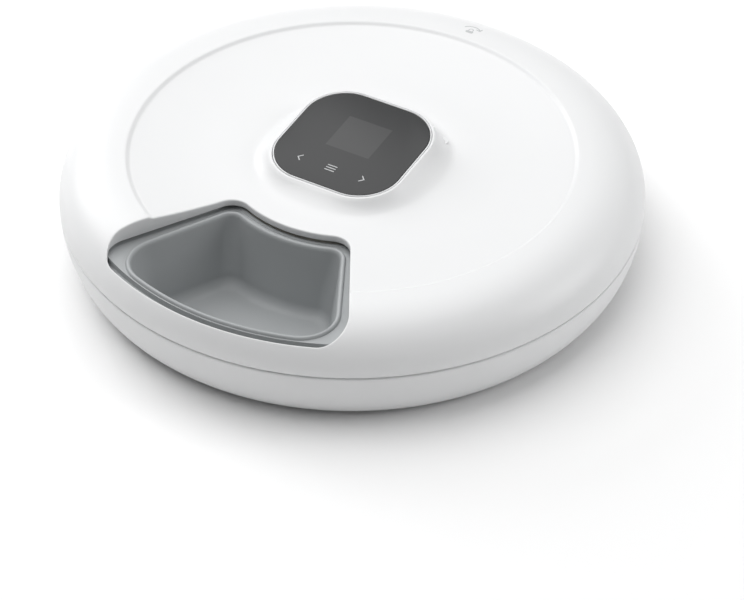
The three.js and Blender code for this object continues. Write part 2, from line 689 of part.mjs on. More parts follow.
function foodTray() {
  const outline = (inset, z) => sector(ridge, inset, ridgeCornerInner, ridgeCornerOuter)
    .map(([x, y]) => [x, y, z]);
  const wallInset = (z) => 1.5 + (trayTop - z) * trayDraft;
  const cup = loft([outline(wallInset(trayFloor) - trayWall + 1.2, trayBottom), outline(0.3, deckTop - 0.5)]);
  const rim = loft([outline(-ridgeSlope, deckTop - 0.2), outline(-0.4, trayTop)]);
  const pocket = loft([
    outline(wallInset(trayFloor) + 5, trayFloor), outline(wallInset(trayFloor) + 1.2, trayFloor + 2),
    outline(wallInset(trayFloor + 7), trayFloor + 7), outline(0.8, trayTop + 0.1),
  ]);
  const skirtFoot = ringBottom + 3 + gap;
  const deckUnder = deckTop - trayWall;
  const flangeUnder = landZ - flangeThickness;
  const rimInner = deckEdge - 2;
  let tray = solid(lathe([
    [skirtInner, skirtFoot], [skirtOuter, skirtFoot], [skirtOuter, deckUnder], [rimInner, deckUnder],
    [rimInner, flangeUnder], [flangeRadius, flangeUnder], [flangeRadius, landZ], [deckEdge, landZ],
    [deckEdge, deckTop], [skirtOuter, deckTop], [skirtOuter, trayTop - 1], [skirtInner, trayTop - 1],
  ]));
  const step = 2 * Math.PI / compartments;
  for (let i = 0; i < compartments; i += 1) {
    tray = tray.add(solid(turned(cup, i * step))).add(solid(turned(rim, i * step)));
  }
  for (let i = 0; i < compartments; i += 1) {
    tray = tray.subtract(solid(turned(pocket, i * step)));
    const slot = block(skirtInner - 1, ringOuter + keyDepth + gap, -keyWidth / 2 - gap, keyWidth / 2 + gap,
      skirtFoot - 1, ringTop - 1 + gap);
    tray = tray.subtract(solid(turned(slot, Math.PI + i * step)));
  }
  return tray;
}
add('food_tray', geometryOf(foodTray()), trayGrey, carousel);

rollerAngles.forEach((angle, i) => {
  const [near, far] = [rollerMiddle - rollerWidth / 2, rollerMiddle + rollerWidth / 2];
  const wheel = solid(radialPin(rollerRadius, near, far, angle, rollerZ));
  const bore = solid(radialPin(axleRadius + gap, near - 1, far + 1, angle, rollerZ));
  add(`rim_roller_${i + 1}`, geometryOf(wheel.subtract(bore)), acetal);
  const pin = solid(radialPin(axleRadius, near - 0.6, lipOuter - 0.2, angle, rollerZ));
  const head = solid(radialPin(axleRadius + 0.8, near - 0.75, near - gap, angle, rollerZ));
  add(`roller_axle_${i + 1}`, geometryOf(pin.add(head)), steel);
});

// ---------------------------------------------------------------- contact socket on the hub
const pinPlaces = [-pinSpacing / 2, pinSpacing / 2];
const plateBottom = hubTop - hubPlate;
const bossTop = linerTop + 1.4;
const padBottom = bossTop + 1.8;
function swivelSocket() {
  const wide = swivelRadius + swivelFlange;
  let socket = solid(lathe([
    [0, plateBottom - gap - 2.4], [wide, plateBottom - gap - 2.4], [wide, plateBottom - gap],
    [swivelRadius, plateBottom - gap], [swivelRadius, hubTop + gap], [wide, hubTop + gap],
    [wide, hubTop + 1.2], [0, hubTop + 1.2],
  ], 32));
  socket = socket.add(solid(prism(roundedSquare(bossHalf, 2.5, 3), hubTop, bossTop)));
  for (const x of pinPlaces) {
    socket = socket.subtract(solid(cylinder(pinRadius + gap, bossTop - 5.5, bossTop + 1, 14, x, 0)));
  }
  return socket;
}
add('swivel_socket', geometryOf(swivelSocket()), blackPlastic);
pinPlaces.forEach((x, i) => {
  add(`contact_pin_${i + 1}`, cylinder(pinRadius, bossTop - 3.6, padBottom - gap, 14, x, 0), brass);
});

// ---------------------------------------------------------------- lid
const lid = new THREE.Group();
feeder.add(lid);
const planeZ = (y) => panelZ + Math.tan(panelTilt) * y;
const dishZ = (r) => {
  const share = Math.max(0, Math.min(1, (r - dishLowRadius) / (dishRadius - dishLowRadius)));
  return dishLowZ + (dishDepth - dishStep) * share ** dishPower;
};

function lidProfile(offset, dishSteps, shoulderSteps) {
  const points = [[0, dishLowZ - offset]];
  for (let i = 0; i <= dishSteps; i += 1) {
    const r = dishLowRadius + (dishRadius - dishLowRadius) * i / dishSteps;
    points.push([r, dishZ(r) - offset]);
  }
  points.push([crestRadius, crestZ - offset]);
  for (let i = 0; i <= shoulderSteps; i += 1) {
    const angle = Math.PI / 2 * (1 - i / shoulderSteps);
    points.push([
      shoulderRadius + (shoulderWidth - offset) * Math.cos(angle),
      lidAxisZ + (shoulderRise - offset) * Math.sin(angle),
    ]);
  }
  return points;
}

// The panel's plinth flares from a tilted rounded square down to a circle on the dish
function plinthRing(half, corner, share, drop, radius) {
  return roundedSquare(half, corner).map(([x, y]) => {
    const angle = Math.atan2(y, x);
    const [cx, cy] = polar(radius, angle);
    const [px, py] = [x + (cx - x) * share, y + (cy - y) * share];
    const top = planeZ(py) - drop;
    return [px, py, top + (dishLowZ - drop / 2 - 0.4 - top) * (1 - (1 - share) ** 2.2)];
  });
}

function lidShell() {
  const edge = seamHeight + gap / 2;
  const outside = lidProfile(0, 4, 7);
  outside.push([bodyRadius, lidAxisZ - 0.6], [bodyRadius - edgeRounding, edge], [0, edge]);
  const inside = lidProfile(lidWall, 2, 5);
  inside.push([bodyRadius - lidWall, edge - 1], [0, edge - 1]);
  const rimHalf = panelHalf + bezelWidth + gap + plinthRim;
  const rimCorner = panelCorner + bezelWidth + gap + plinthRim;
  const levels = [1, 0.66, 0.33, 0.08, 0];
  const below = (points) => points.map(([x, y]) => [x, y, lidUnderside + 1]);
  const rings = levels.map((share) => plinthRing(rimHalf, rimCorner, share, 0, flareRadius));
  const plinth = loft([below(rings[0]), ...rings]);
  const cavityHalf = panelHalf - bezelLedge + 3;
  const cavityLevels = [1, 0.5, 0].map((share) =>
    plinthRing(cavityHalf, panelCorner - 2, share, bezelDepth + 2, flareRadius - 6));
  const lowered = (points) => points.map(([x, y]) => [x, y, seamHeight]);
  const cavity = loft([lowered(cavityLevels[0]), ...cavityLevels]);

  const filled = solid(lathe(outside)).add(solid(plinth));
  let shell = filled.subtract(solid(lathe(inside))).subtract(solid(cavity));

  // Window with its turned-down wall
  const opening = { inner: windowInner, outer: windowOuter, half: windowHalfAngle };
  const cut = sector(opening, 0, windowCornerInner, windowCornerOuter);
  const round = sector(opening, -windowWall, windowCornerInner, windowCornerOuter);
  const lowEdge = windowBottom - windowSkirt;
  const stepRadius = windowOuter - 4.8;
  const under = solid(lathe([
    [0, seamHeight], [bodyRadius, seamHeight], [bodyRadius, lowEdge], [windowOuter - 2, lowEdge],
    [stepRadius, windowBottom], [0, windowBottom],
  ]));
  const wall = solid(prism(round, lowEdge, crestZ)).intersect(filled).subtract(under);
  shell = shell.add(wall).subtract(solid(prism(cut, lowEdge - 1, crestZ + 5)));

  // Seat for the panel, and bosses for the liner's screws
  const seatHalf = panelHalf + bezelWidth + gap;
  const seat = prism(roundedSquare(seatHalf, panelCorner + bezelWidth + gap), -bezelDepth - gap, 20);
  const through = prism(roundedSquare(panelHalf - bezelLedge, panelCorner - bezelLedge), -20, 20);
  const tilted = (geometry) => geometry.rotateX(panelTilt).translate(0, 0, panelZ);
  for (const [x, y] of linerScrews) {
    shell = shell.add(solid(cylinder(3.4, linerTop + gap, lidUnderside + 1.5, 16, x, y)));
  }
  shell = shell.subtract(solid(tilted(seat))).subtract(solid(tilted(through)).intersect(
    solid(block(-99, 99, -99, 99, lidUnderside, 120))));
  for (const [x, y] of linerScrews) {
    shell = shell.subtract(solid(cylinder(screwRadius + gap, linerTop, linerTop + 3.6, 12, x, y)));
  }

  // Bayonet lugs inside the skirt
  for (let i = 0; i < lugCount; i += 1) {
    const lugZ = seamHeight + lugLift;
    const [near, far] = [lipOuter - lugReach, bodyRadius - lidWall + 0.6];
    const lug = block(near, far, -lugLength / 2, lugLength / 2, lugZ, lugZ + lugHeight);
    shell = shell.add(solid(turned(lug, i * 2 * Math.PI / lugCount)));
  }
  return shell;
}
const linerScrews = [0, 1, 2, 3].map((i) => polar(flareRadius - 7.5, Math.PI / 4 + i * Math.PI / 2));
add('lid_shell', geometryOf(lidShell()), shellWhite, lid);

function lidLiner() {
  const hole = bossHalf + 0.5;
  let liner = solid(cylinder(linerRadius, linerBottom, linerTop, 36));
  liner = liner.add(solid(prism(roundedSquare(hole + 1.6, 3.5, 3), linerBottom, padBottom - gap)));
  liner = liner.subtract(solid(prism(roundedSquare(hole, 2.8, 3), linerBottom - 1, padBottom + 1)));
  for (const [x, y] of linerScrews) {
    liner = liner.subtract(solid(cylinder(screwRadius + gap, linerBottom - 1, linerTop + 1, 12, x, y)));
  }
  return liner;
}
add('lid_liner', geometryOf(lidLiner()), innerWhite, lid);
linerScrews.forEach(([x, y], i) => {
  const screw = lathe(screwProfile(6), 10).translate(x, y, linerBottom - screwHeadHeight);
  add(`liner_screw_${i + 1}`, screw, steel, lid);
});
const padHalf = bossHalf + 1.6;
add('contact_pad', block(-padHalf, padHalf, -padHalf, padHalf, padBottom, padBottom + 1), boardGreen, lid);

// Panel pieces are built flat, with their top at zero, and tilt together
const panel = new THREE.Group();
panel.position.z = panelZ;
panel.rotation.x = panelTilt;
lid.add(panel);

function panelBezel() {
  const outer = prism(roundedSquare(panelHalf + bezelWidth, panelCorner + bezelWidth), -bezelDepth, 0.2);
  const pocket = prism(roundedSquare(panelHalf + 0.1, panelCorner + 0.1), -glassThickness - gap, 1);
  const through = prism(roundedSquare(panelHalf - bezelLedge, panelCorner - bezelLedge), -bezelDepth - 1, 1);
  return solid(outer).subtract(solid(pocket)).subtract(solid(through));
}
add('panel_bezel', geometryOf(panelBezel()), bezelWhite, panel);
const glass = prism(roundedSquare(panelHalf - 0.2, panelCorner - 0.2), -glassThickness, 0);
add('panel_glass', glass, glassDark, panel);
const lcdTop = -glassThickness - gap;
const [lcdFront, lcdRear] = [lcdOffset - lcdDepth / 2, lcdOffset + lcdDepth / 2];
const display = block(-lcdWidth / 2, lcdWidth / 2, lcdFront, lcdRear, lcdTop - lcdThickness, lcdTop);
add('lcd_display', display, lcdGrey, panel);
const boardHalf = panelHalf - bezelLedge - 0.6;
const boardTop = lcdTop - lcdThickness - gap;
const boardOutline = roundedSquare(boardHalf, panelCorner - bezelLedge - 0.6);
add('control_board', prism(boardOutline, boardTop - boardThickness, boardTop), boardGreen, panel);
add('buzzer', cylinder(6, boardTop + gap, lcdTop, 20, 0, -20), blackPlastic, panel);

// ---------------------------------------------------------------- inner leads
function lead(name, points, radius) {
  const curve = new THREE.CatmullRomCurve3(points.map((p) => new THREE.Vector3(...p)));
  const section = circleShape(radius, 8);
  add(name, new THREE.ExtrudeGeometry(section, { steps: 10, extrudePath: curve }), leadRed);
}
const boardTopZ = boardZ + boardThickness;
const leadRadius = 0.9;
const flangeSide = swivelRadius + swivelFlange + 2 * gap;
const flangeZ = plateBottom - gap - 1.2;
lead('socket_lead', [[flangeSide + 12, 0, boardTopZ + 1.2], [flangeSide + 8, 0, boardTopZ + 1.4],
  [flangeSide + 3, 0, flangeZ], [flangeSide, 0, flangeZ]], leadRadius);
lead('motor_lead', [[-22, 8, boardTopZ + 1.3], [-22, 17, boardTopZ + 1.5], [-22, 26.5, boardZ - 4],
  [-22, 30, (boardZ + motorBottom) / 2], [-12, motorY - 6, motorBottom - 1.6]], leadRadius);

export default feeder;
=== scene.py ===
# Automatic pet feeder: the finished look of every piece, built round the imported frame.
# Shapes are worked out in millimetres in the part's own frame and turned into metres as each mesh is made.
from math import asin, atan2, cos, hypot, pi, radians, sin, sqrt, tan

import bmesh
import bpy
from mathutils import Euler, Matrix, Vector
from mathutils.geometry import delaunay_2d_cdt


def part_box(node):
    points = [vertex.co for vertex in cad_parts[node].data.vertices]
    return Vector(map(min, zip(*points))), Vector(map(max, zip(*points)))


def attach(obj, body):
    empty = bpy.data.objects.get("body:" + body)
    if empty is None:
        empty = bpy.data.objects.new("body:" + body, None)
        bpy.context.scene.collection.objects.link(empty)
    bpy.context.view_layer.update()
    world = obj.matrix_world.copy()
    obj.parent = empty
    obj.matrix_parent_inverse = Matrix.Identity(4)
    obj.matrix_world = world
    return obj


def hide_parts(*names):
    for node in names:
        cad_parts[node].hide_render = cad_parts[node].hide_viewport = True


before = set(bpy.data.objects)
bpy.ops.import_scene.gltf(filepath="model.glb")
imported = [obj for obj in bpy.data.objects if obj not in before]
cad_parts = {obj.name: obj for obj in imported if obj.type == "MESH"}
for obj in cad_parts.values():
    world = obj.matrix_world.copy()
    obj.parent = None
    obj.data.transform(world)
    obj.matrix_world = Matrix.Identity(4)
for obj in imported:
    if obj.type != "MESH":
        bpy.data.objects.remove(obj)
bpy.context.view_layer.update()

MM = 0.001

# ------------------------------------------------------------------ studio
# A plain white floor under a large soft light from above, with a small one at each side and a white surround.
# The camera looks down at the front right of the feeder with a long lens.
scene = bpy.context.scene
scene.view_settings.view_transform = "Standard"
CAMERA_PLACE = Vector((714.55, -1198.67, 1096.96)) * MM
CAMERA_HEADING = radians(30.35)
CAMERA_DROP = radians(39.25)
CAMERA_ROLL = radians(0.19)
CAMERA_LENS = 154.84


def added(name, data):
    """Puts an object with this data into the scene."""
    holder = bpy.data.objects.new(name, data)
    scene.collection.objects.link(holder)
    return holder


def studio_camera():
    camera = bpy.data.cameras.new("studio_camera")
    camera.lens = CAMERA_LENS
    camera.sensor_width = 36
    camera.clip_end = 50
    holder = added("studio_camera", camera)
    holder.location = CAMERA_PLACE
    turn = Euler((pi / 2 - CAMERA_DROP, 0, CAMERA_HEADING)).to_matrix().to_4x4()
    holder.rotation_euler = (turn @ Matrix.Rotation(CAMERA_ROLL, 4, "Z")).to_euler()
    return holder


scene.camera = studio_camera()


def soft_light(name, spot, target, size, watts):
    lamp = bpy.data.lights.new(name, "AREA")
    lamp.shape = "RECTANGLE"
    lamp.size, lamp.size_y = size
    lamp.energy = watts
    holder = added(name, lamp)
    holder.location = spot
    holder.rotation_euler = (Vector(target) - Vector(spot)).to_track_quat("-Z", "Y").to_euler()


soft_light("overhead_light", (-0.7, 0.2, 2.4), (0, 0, 0.03), (3.2, 3.0), 68)
soft_light("left_light", (-1.9, 0.6, 1.0), (0, 0, 0.05), (1.2, 1.0), 18)
soft_light("right_light", (1.9, 0.9, 1.0), (0, 0, 0.05), (1.2, 1.0), 14)


def feed(tree, node, inputs):
    """Gives inputs of a node their values, or a link where the value is another node's output."""
    for socket, value in inputs.items():
        if isinstance(value, bpy.types.NodeSocket):
            tree.links.new(value, node.inputs[socket])
        else:
            node.inputs[socket].default_value = value


surround = bpy.data.worlds.new("white_surround")
surround.use_nodes = True
feed(surround.node_tree, surround.node_tree.nodes["Background"], {"Color": (1, 1, 1, 1), "Strength": 0.22})
scene.world = surround


def studio_floor():
    half, drop = 6.0, 0.0002
    corners = [(-half, -half, 0), (half, -half, 0), (half, half, 0), (-half, half, 0)]
    mesh = bpy.data.meshes.new("studio_floor")
    mesh.from_pydata(corners, [], [(0, 1, 2, 3)])
    floor = added("studio_floor", mesh)
    floor.location.z = -drop
    paint = bpy.data.materials.new("studio_white")
    paint.use_nodes = True
    feed(paint.node_tree, paint.node_tree.nodes["Principled BSDF"],
         {"Base Color": (0.93, 0.93, 0.93, 1), "Roughness": 0.9, "Specular IOR Level": 0.1})
    mesh.materials.append(paint)


studio_floor()

# ------------------------------------------------------------------ base shell
# The lower half of the casing: one injection moulding in white ABS with a satin face.
# Its side curls under to the floor, its rim carries the lid, and the lip inside has four bayonet passages.


class Skin:
    """Points in millimetres and the faces between them, gathered ring by ring into one closed piece."""

    def __init__(self):
        self.points = []
        self.faces = []

    def ring(self, points):
        start = len(self.points)
        self.points += [tuple(p) for p in points]
        return list(range(start, len(self.points)))

    def band(self, a, b):
        count = len(a)
        for i in range(count):
            j = (i + 1) % count
            self.faces.append((a[i], a[j], b[j], b[i]))

    def bands(self, rings, first=None):
        """Joins rings of points in order, starting from a ring already in the skin where one is given."""
        indices = [first] if first else []
        indices += [self.ring(points) for points in rings]
        for a, b in zip(indices, indices[1:]):
            self.band(a, b)
        return indices

    def cap(self, *rings):
        self.faces += [tuple(ring) for ring in rings]

    def fan(self, ring, centre):
        middle = self.ring([centre])[0]
        for i in range(len(ring)):
            self.faces.append((ring[i], ring[(i + 1) % len(ring)], middle))

    def sheet(self, outer, holes, inside, height):
        """Fills the space between the outer ring and the hole rings, with more points inside it."""
        rings = [outer, *holes]
        known = [index for ring in rings for index in ring]
        flat = [Vector(self.points[index][:2]) for index in known] + [Vector(p) for p in inside]
        edges, start = [], 0
        for ring in rings:
            edges += [(start + i, start + (i + 1) % len(ring)) for i in range(len(ring))]
            start += len(ring)
        known += self.ring([(x, y, height(x, y)) for x, y in inside])
        places, _, faces, origins, _, _ = delaunay_2d_cdt(flat, edges, [], 0, 1e-7)
        where = [known[found[0]] for found in origins]
        borders = [[Vector(self.points[index][:2]) for index in ring] for ring in rings]
        for face in faces:
            middle = sum((places[i] for i in face), Vector((0, 0))) / len(face)
            if within(borders[0], middle) and not any(within(border, middle) for border in borders[1:]):
                self.faces.append(tuple(where[i] for i in face))

    def object(self, name, material, sharp=50):
        mesh = bpy.data.meshes.new(name)
        mesh.from_pydata([Vector(p) * MM for p in self.points], [], self.faces)
        work = bmesh.new()
        work.from_mesh(mesh)
        bmesh.ops.remove_doubles(work, verts=work.verts, dist=1e-7)
        bmesh.ops.dissolve_degenerate(work, edges=work.edges, dist=1e-8)
        bmesh.ops.recalc_face_normals(work, faces=work.faces)
        work.to_mesh(mesh)
        work.free()
        smoothed(mesh, sharp)
        mesh.materials.append(material)
        return added(name, mesh)


def smoothed(mesh, sharp):
    """Smooth faces, with an edge left wherever they meet at more than the given angle."""
    mesh.polygons.foreach_set("use_smooth", [True] * len(mesh.polygons))
    mesh.set_sharp_from_angle(angle=radians(sharp))


def within(outline, point):
    x, y = point
    inside = False
    last = outline[-1]
    for here in outline:
        if (here[1] > y) != (last[1] > y):
            if x < (last[0] - here[0]) * (y - here[1]) / (last[1] - here[1]) + here[0]:
                inside = not inside
        last = here
    return inside


def box_mm(node):
    low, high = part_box(node)
    return low / MM, high / MM


def centre_of(box):
    return (box[0] + box[1]) / 2


def boxes(name, count):
    return [box_mm(f"{name}_{i + 1}") for i in range(count)]


def at(outline, z):
    return [(x, y, z) for x, y in outline]


def turned(points, angle):
    return [(x * cos(angle) - y * sin(angle), x * sin(angle) + y * cos(angle)) for x, y in points]


def circle(radius, z, turns, centre=(0, 0)):
    angles = [i * 2 * pi / turns for i in range(turns)]
    return [(centre[0] + radius * cos(a), centre[1] + radius * sin(a), z) for a in angles]


def revolved(skin, profile, turns, centre=(0, 0)):
    """Turns a profile of (radius, height) about a vertical axis; a profile off the axis closes on itself."""
    on_axis = profile[0][0] < 1e-6
    middle = profile[1:-1] if on_axis else [*profile, profile[0]]
    rings = skin.bands([circle(r, z, turns, centre) for r, z in middle])
    if on_axis:
        skin.fan(rings[0], (*centre, profile[0][1]))
        skin.fan(rings[-1], (*centre, profile[-1][1]))
    return rings


def bend(start, corner, end, t):
    """A point on the curve that leaves the start towards the corner and comes from there to the end."""
    return start * (1 - t) ** 2 + corner * 2 * t * (1 - t) + end * t * t


def rounded(profile, radius, steps=5, closed=False):
    """Rounds the corners of an open or closed run of (x, y) points."""
    count = len(profile)
    out = []
    for i, here in enumerate(profile):
        size = radius[i] if isinstance(radius, (list, tuple)) else radius
        if size <= 0 or (not closed and i in (0, count - 1)):
            out.append(here)
            continue
        here = Vector(here)
        before = Vector(profile[i - 1]) - here
        after = Vector(profile[(i + 1) % count]) - here
        turn = pi - before.angle(after, 0)
        if turn < radians(4):
            out.append(tuple(here))
            continue
        back = min(size * tan(turn / 2), before.length * 0.49, after.length * 0.49)
        near = here + before.normalized() * back
        far = here + after.normalized() * back
        out += [tuple(bend(near, here, far, k / steps)) for k in range(steps + 1)]
    return out


def place(piece, body, slot, *nodes):
    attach(piece, body)
    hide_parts(*nodes)
    return piece


def shader_node(tree, kind, inputs, **settings):
    """Adds a shader node with its settings and its inputs."""
    node = tree.nodes.new("ShaderNode" + kind)
    for name, value in settings.items():
        setattr(node, name, value)
    feed(tree, node, inputs)
    return node


def grain_group():
    """Fine moulded grain: slight unevenness of colour and gloss, and a height for a bump."""
    group = bpy.data.node_groups.new("moulded_grain", "ShaderNodeTree")
    colour, number = "NodeSocketColor", "NodeSocketFloat"
    for name, kind, value in (("Colour", colour, (0.8, 0.8, 0.8, 1)), ("Shade", number, 0.02),
                              ("Roughness", number, 0.4), ("Unevenness", number, 0.04),
                              ("Grain per metre", number, 1500.0)):
        group.interface.new_socket(name, in_out="INPUT", socket_type=kind).default_value = value
    for name, kind in (("Colour", colour), ("Roughness", number), ("Height", number)):
        group.interface.new_socket(name, in_out="OUTPUT", socket_type=kind)
    given = group.nodes.new("NodeGroupInput").outputs
    spot = shader_node(group, "TexCoord", {}).outputs["Object"]
    broad = shader_node(group, "TexNoise", {"Vector": spot, "Scale": 14, "Detail": 3})
    fine = shader_node(group, "TexNoise", {"Vector": spot, "Scale": given["Grain per metre"], "Detail": 2})
    shift = shader_node(group, "Math", {0: broad.outputs["Fac"], 1: 0.5}, operation="SUBTRACT").outputs[0]
    lower = shader_node(group, "Math", {0: shift, 1: given["Shade"], 2: 1}, operation="MULTIPLY_ADD")
    tint = shader_node(group, "VectorMath", {0: given["Colour"], "Scale": lower.outputs[0]},
                       operation="SCALE")
    spread = shader_node(group, "Math", {0: shift, 1: given["Unevenness"], 2: given["Roughness"]},
                         operation="MULTIPLY_ADD")
    feed(group, group.nodes.new("NodeGroupOutput"),
         {"Colour": tint.outputs[0], "Roughness": spread.outputs[0], "Height": fine.outputs["Fac"]})
    return group


moulded_grain = grain_group()


def moulded(name, colour, roughness, grain=1500, depth=0.004, shade=0.02, metallic=0, specular=0.5, coat=0):
    """A moulded or machined finish: one colour with the grain group feeding its colour, gloss and bump."""
    material = bpy.data.materials.new(name)
    material.use_nodes = True
    tree = material.node_tree
    surface = shader_node(tree, "Group", {"Colour": (*colour, 1), "Shade": shade, "Roughness": roughness,
                                          "Grain per metre": grain}, node_tree=moulded_grain, name="surface")
    bump = shader_node(tree, "Bump", {"Strength": 0.35, "Distance": depth * MM,
                                      "Height": surface.outputs["Height"]})
    feed(tree, tree.nodes["Principled BSDF"],
         {"Metallic": metallic, "Specular IOR Level": specular, "Coat Weight": coat, "Coat Roughness": 0.08,
          "Base Color": surface.outputs["Colour"], "Roughness": surface.outputs["Roughness"],
          "Normal": bump.outputs["Normal"]})
    return material


shell_white = moulded("shell_white", (0.78, 0.785, 0.79), 0.38, depth=0.01)


def cut(piece, cutters):
    """Takes closed cutter objects away from a piece, exactly, and throws the cutters away."""
    for cutter in cutters:
        knife = piece.modifiers.new("cut", "BOOLEAN")
        knife.operation = "DIFFERENCE"
        knife.solver = "EXACT"
        knife.object = cutter
    bpy.context.view_layer.update()
    evaluated = piece.evaluated_get(bpy.context.evaluated_depsgraph_get())
    mesh = bpy.data.meshes.new_from_object(evaluated)
    piece.modifiers.clear()
    old = piece.data
    piece.data = mesh
    bpy.data.meshes.remove(old)
    for cutter in cutters:
        bpy.data.objects.remove(cutter)
    smoothed(mesh, 35)


def prism(outline, bottom, top):
    """A closed upright piece of one outline; it serves as a cutter."""
    skin = Skin()
    skin.cap(*skin.bands([at(outline, bottom), at(outline, top)]))
    return skin.object("cutter", shell_white)


def block(low, high, turn=0):
    """A closed box between two corners, turned about the vertical axis."""
    corners = [(low[0], low[1]), (high[0], low[1]), (high[0], high[1]), (low[0], high[1])]
    return prism(turned(corners, turn), low[2], high[2])


def post(middle, half_x, half_y, bottom, top):
    """A closed upright box about a point."""
    x, y = middle
    return block((x - half_x, y - half_y, bottom), (x + half_x, y + half_y, top))


def lathed(name, profile, material, turns, centre=(0, 0), sharp=40):
    skin = Skin()
    revolved(skin, profile, turns, centre)
    return skin.object(name, material, sharp)


def rod(radius, bottom, top, x, y, turns=32):
    profile = [(0, bottom), (radius, bottom), (radius, top), (0, top)]
    return lathed("cutter", profile, shell_white, turns, (x, y), 50)


base_low, base_high = box_mm("base_shell")
lid_low = box_mm("lid_shell")[0]
body_radius = base_high.x
foot_height = base_low.z
lip_top = base_high.z
lip_outer = body_radius - 4.6
lip_inner = lip_outer - 2
base_wall = 2.5
seam_gap = 0.3
seam_z = lid_low.z - seam_gap / 2
floor_top = foot_height + 2.8
edge_rounding = 1.4
side_reach, side_lift, side_overshoot = 23.9, 1.4, 4
side_axis_z = seam_z + side_lift
side_drop = side_axis_z - foot_height + side_overshoot


def base_side(angle, wall=0):
    """A point of the casing's round side, or of its inner face where a wall is given."""
    reach = body_radius - side_reach + (side_reach - wall) * cos(angle)
    return reach, side_axis_z - (side_drop - wall) * sin(angle)


def base_profile():
    lowest = asin((side_axis_z - foot_height) / side_drop)
    highest = asin((side_axis_z - seam_z + edge_rounding) / side_drop)
    inner_lowest = asin((side_axis_z - floor_top) / (side_drop - base_wall))
    inner_highest = 0.2
    inner_drop = inner_lowest - inner_highest
    outside = [base_side(lowest + (highest - lowest) * i / 28) for i in range(29)]
    inside = [base_side(inner_highest + inner_drop * i / 14, base_wall) for i in range(15)]
    edge_z = seam_z - seam_gap / 2
    corner, end = Vector((body_radius * 0.9995, edge_z)), Vector((body_radius - edge_rounding, edge_z))
    roll = [tuple(bend(Vector(outside[-1]), corner, end, i / 6)) for i in range(1, 7)]
    shelf = (lip_inner, inside[0][1] + (inside[0][0] - lip_inner))
    lip = rounded([(body_radius - edge_rounding - 0.5, edge_z), (lip_outer, edge_z), (lip_outer, lip_top),
                   (lip_inner, lip_top), shelf, inside[0]], [0, 0.3, 0.6, 0.6, 1.5, 0], 4)
    return [(0, foot_height), *outside, *roll, *lip, *inside[1:], (0, floor_top)]


def lug_passages():
    """Each lug drops straight down past the lip and then turns under it."""
    twist = radians(15)
    half = (14 / 2 + 0.8) / lip_outer
    low, high = seam_z + 1.6, seam_z + 4.9
    cutters = []
    for i in range(4):
        middle = i * pi / 2
        for start, end, top in ((middle - half, middle + half, lip_top + 1),
                                (middle - twist - half, middle, high)):
            steps = [start + (end - start) * k / 8 for k in range(9)]
            outline = [((lip_outer + 1) * cos(a), (lip_outer + 1) * sin(a)) for a in steps]
            outline += [((lip_inner - 1) * cos(a), (lip_inner - 1) * sin(a)) for a in reversed(steps)]
            cutters.append(prism(outline, low, top))
    return cutters


door_low, door_high = box_mm("battery_door")
box_high = box_mm("battery_box")[1]
socket_low, socket_high = box_mm("power_socket")
socket_middle = (socket_low + socket_high) / 2
socket_angle = atan2(socket_middle.y, socket_middle.x)
recess_half = 6.5
recess_top = socket_high.z + 0.3
hinge_y, hinge_z = door_low.y + 1.9, foot_height + 1.9
bay_half = box_high.x - 1.5
bay_back = box_high.y - 1.5
hub_screws = [centre_of(box) for box in boxes("hub_screw", 4)]
feet = boxes("rubber_foot", 4)
axles = [centre_of(box) for box in boxes("roller_axle", 4)]


def radial_rod(radius, near, far, angle, z):
    piece = rod(radius, near, far, 0, 0, 24)
    turn = Matrix.Rotation(angle, 4, "Z") @ Matrix.Rotation(pi / 2, 4, "Y")
    piece.data.transform(Matrix.Translation((0, 0, z * MM)) @ turn)
    return piece


def taken(piece):
    """Turns an object back into a skin, in millimetres, and throws the object away."""
    skin = Skin()
    skin.points = [tuple(v.co / MM) for v in piece.data.vertices]
    skin.faces = [tuple(face.vertices) for face in piece.data.polygons]
    old = piece.data
    bpy.data.objects.remove(piece)
    bpy.data.meshes.remove(old)
    return skin


def joined(skins):
    whole = Skin()
    for skin in skins:
        start = len(whole.points)
        whole.points += skin.points
        whole.faces += [tuple(start + i for i in face) for face in skin.faces]
    return whole


def base_shell():
    shell = lathed("base_casing", base_profile(), shell_white, 192, sharp=35)
    inlet = socket_middle.xy
    groove_half, groove_top = 2.1, foot_height + 1.8
    cutters = lug_passages()
    cutters.append(block((-bay_half, door_low.y - 0.4, -1), (bay_half, bay_back, floor_top + 1)))
    cutters.append(post(inlet, recess_half, recess_half, -1, floor_top + 1))
    groove = (inlet.length, -groove_half, -1), (body_radius + 1, groove_half, groove_top)
    cutters.append(block(*groove, socket_angle))
    for middle in hub_screws:
        cutters.append(rod(3.2, -1, foot_height + 1.4, *middle.xy))
        cutters.append(rod(1.6, -1, floor_top + 1, *middle.xy))
    for box in feet:
        cutters.append(rod(8.3, -1, foot_height + 1, *centre_of(box).xy, 48))
    for middle in axles:
        cutters.append(radial_rod(1.8, lip_inner - 1, lip_outer + 1, atan2(middle.y, middle.x), middle.z))
    cut(shell, cutters)
    outer = recess_half + 1.5
    housing = post(inlet, outer, outer, floor_top - 0.5, recess_top + 1.5)
    cut(housing, [post(inlet, recess_half, recess_half, 0, recess_top)])
    return joined([taken(shell), taken(housing)]).object("base_casing", shell_white, 35)


place(base_shell(), "base", "shell_white", "base_shell")

# ------------------------------------------------------------------ rubber feet
# Four grey rubber pads with a soft lower edge, pushed into shallow recesses under the base.
foot_rubber = moulded("foot_rubber", (0.09, 0.095, 0.1), 0.85, grain=2600, depth=0.03, shade=0.08,
                      specular=0.3)


